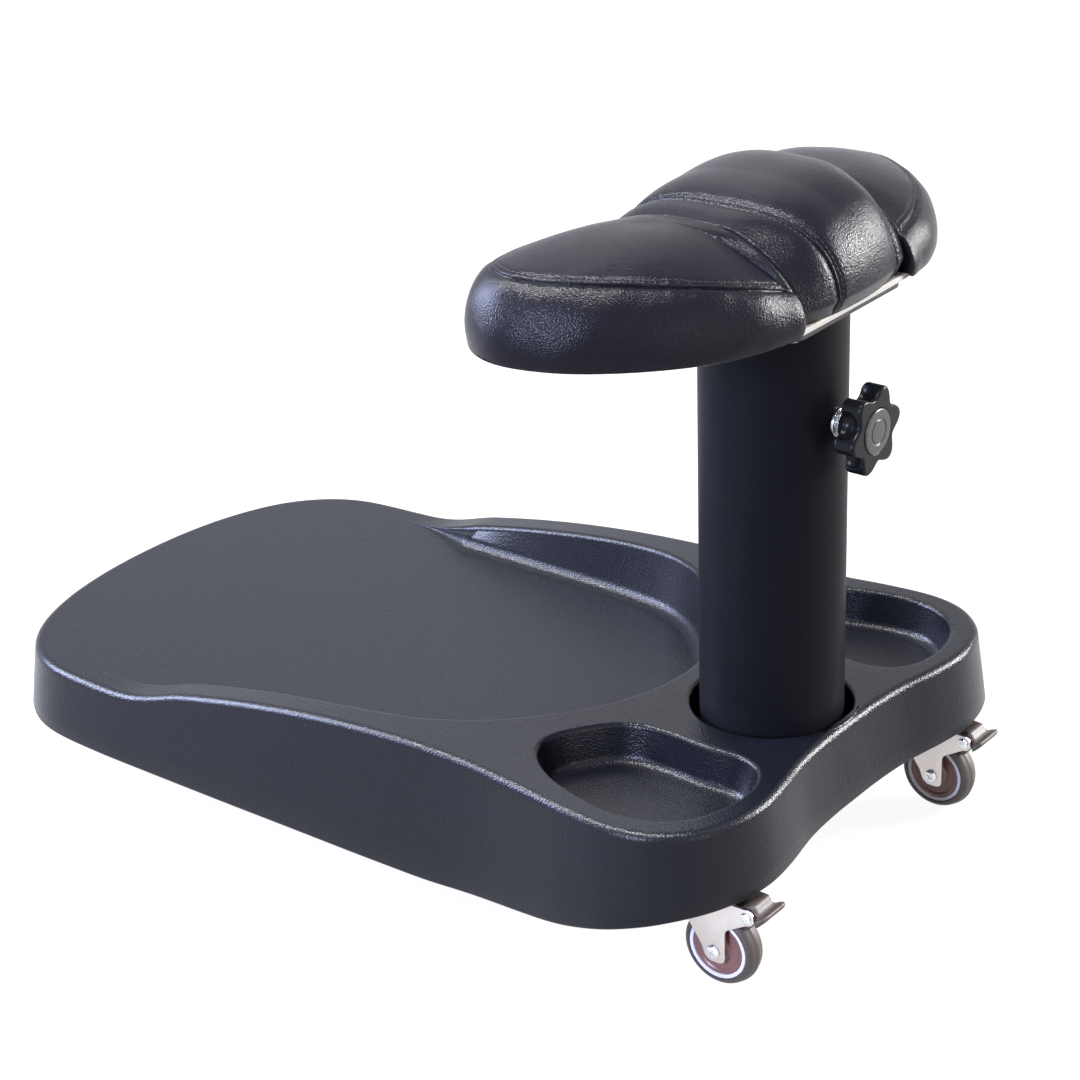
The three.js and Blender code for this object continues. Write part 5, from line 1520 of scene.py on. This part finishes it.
def fork_piece(caster, has_brake):
    line = [tuple(p) for p in cheek_outline(has_brake)]
    points, faces = [], []
    for hand in (-1, 1):
        start, count = len(points), len(line)
        for offset in (cheek_gap, cheek_gap + sheet_thickness):
            for x, z in line:
                turned_in = max(bend_x - x, 0) * cheek_narrowing
                points.append((x, hand * (offset - turned_in), z))
        faces += [(start + i, start + (i + 1) % count, start + count + (i + 1) % count, start + count + i)
                  for i in range(count)]
        faces += [tuple(range(start, start + count)), tuple(range(start + count, start + 2 * count))]
    start = len(points)
    crown_line = [(fork_back, -cheek_gap),
                  *arc_points(0, 0, fork_crown_radius, -math.pi / 2, -1.5 * math.pi, 25),
                  (fork_back, cheek_gap)]
    for z in (fork_top - sheet_thickness, fork_top):
        points += [(x, y, z) for x, y in crown_line]
    count = len(crown_line)
    faces += [(start + i, start + (i + 1) % count, start + count + (i + 1) % count, start + count + i)
              for i in range(count)]
    faces += [tuple(range(start, start + count)), tuple(range(start + count, start + 2 * count))]
    place = np.array(kingpin[caster])
    fork = new_piece(caster + "_folded_fork", np.array(points) + place, faces, sheet_steel, 30.0)
    return softened(fork, 0.00045, 2)


for caster in casters:
    fork = fork_piece(caster, caster in braked)
    settle(fork, caster + "_swivel", "fork_steel", caster + "_fork")

# %% [markdown]
# Bolts and rivets cross the fork. Each is turned like the other round parts, with a domed head on both
# sides, and the driver's cross is cut into the head. The pedal's solid already has its hump and dished
# pad, so a fine remesh turns its facets into one smooth moulding.

# %% Pins and pedals
def cross_bolt(name, origin, radius, head_radius, head_height, outer, material):
    """A bolt along Y with a domed, cross-recessed head at each end."""
    dome = [(0.0, -outer - head_height)]
    for angle in np.linspace(0.35, math.pi / 2, 7):
        dome.append((head_radius * math.sin(angle), -outer - head_height * (0.25 + 0.75 * math.cos(angle))))
    half = dome + [(head_radius, -outer), (radius, -outer), (radius, 0)]
    bolt = revolve(name, half + [(r, -y) for r, y in half[-2::-1]], material, origin, "Y", 40, 50.0)
    for hand in (-1, 1):
        for turn in (0, math.pi / 2):
            bpy.ops.mesh.primitive_cube_add(size=1, location=(
                origin[0], origin[1] + hand * (outer + head_height), origin[2]),
                rotation=(0, turn + 0.4, 0), scale=(head_radius * 1.1, head_height * 1.2, head_radius * 0.2))
            boolean(bolt, bpy.context.object, "DIFFERENCE")
    return bolt


cheek_outer = cheek_gap + sheet_thickness + fit
pedal_voxel, pedal_rounds = 0.0009, 24
for caster in casters:
    axle = cross_bolt(caster + "_axle_bolt", wheel_origin(caster), 0.0036, 0.0052, 0.0022, cheek_outer, zinc)
    settle(axle, caster + "_swivel", "caster_zinc", caster + "_axle")
for caster in braked:
    pin_place = (kingpin[caster].x + pivot[0], kingpin[caster].y, pivot[1])
    pin = cross_bolt(caster + "_pedal_rivet", pin_place, 0.0028, 0.0044, 0.0016, cheek_outer, zinc)
    settle(pin, caster + "_swivel", "caster_zinc", caster + "_brake_pin")
    pedal = refined(caster + "_pedal", caster + "_brake_pedal", pedal_plastic, 0.0004, 1)
    moulded(pedal, pedal_voxel, pedal_rounds, pedal_plastic)
    settle(pedal, caster + "_brake", "pedal_plastic", caster + "_pedal")
for caster in casters:
    mount = refined(caster + "_mount", caster + "_top_plate", zinc, 0.0004)
    settle(mount, "base", "caster_zinc", caster + "_mount")

# %% [markdown]
# The screws of the seat plate are alike, so Geometry Nodes place one pan head on each of four points. The
# solids of the screws that lie hidden inside keep their shape and only get their finish.

# %% Screws and hidden nodes
def pan_head():
    head = revolve("pan_head", [
        (0, -0.0034), (0.0022, -0.0033), (0.0040, -0.0027), (0.0051, -0.0014), (0.0055, 0.0),
        (0.003, 0.0), (0.003, 0.0069), (0, 0.0069)], zinc, segments=32)
    for turn in (0, math.pi / 2):
        bpy.ops.mesh.primitive_cube_add(size=1, location=(0, 0, -0.0032), rotation=(0, 0, turn),
                                        scale=(0.0058, 0.0013, 0.0032))
        boolean(head, bpy.context.object, "DIFFERENCE")
    return head


def screw_tree(head, material):
    tree, given, made = node_tree("screw_group", {})
    link, new = tree.links.new, tree.nodes.new
    shape = new("GeometryNodeObjectInfo")
    shape.inputs["Object"].default_value = head
    place = new("GeometryNodeInstanceOnPoints")
    link(given.outputs["Geometry"], place.inputs["Points"])
    link(shape.outputs["Geometry"], place.inputs["Instance"])
    realise = new("GeometryNodeRealizeInstances")
    link(place.outputs["Instances"], realise.inputs["Geometry"])
    paint = new("GeometryNodeSetMaterial")
    paint.inputs["Material"].default_value = material
    link(realise.outputs["Geometry"], paint.inputs["Geometry"])
    link(paint.outputs["Geometry"], made.inputs["Geometry"])
    return tree


seat_screws = [f"seat_screw_{i}" for i in (1, 2, 3, 4)]
head_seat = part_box("seat_plate")[0].z - fit
screw_points = bpy.data.meshes.new("seat_screws")
screw_points.from_pydata([(middle(n).x, middle(n).y, head_seat) for n in seat_screws], [], [])
screws = bpy.data.objects.new("seat_screws", screw_points)
bpy.context.scene.collection.objects.link(screws)
pattern = pan_head()
screws = through_tree(screws, screw_tree(pattern, zinc))
bpy.data.objects.remove(pattern)
settle(screws, "carrier", "zinc_screws", *seat_screws)

carried_over = {
    "frame_plate": coat, "glide_cup": nylon, "clamp_pad": nylon,
    **{f"tray_screw_{i}": zinc for i in (1, 2, 3, 4)}, **{f"flange_screw_{i}": zinc for i in (1, 2, 3, 4)},
}
for node, material in carried_over.items():
    shown_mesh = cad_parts[node].data
    for slot_number in range(max(len(shown_mesh.materials), 1)):
        if len(shown_mesh.materials) <= slot_number:
            shown_mesh.materials.append(material)
        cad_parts[node].material_slots[slot_number].material = material
print("finished solids", sorted(carried_over))
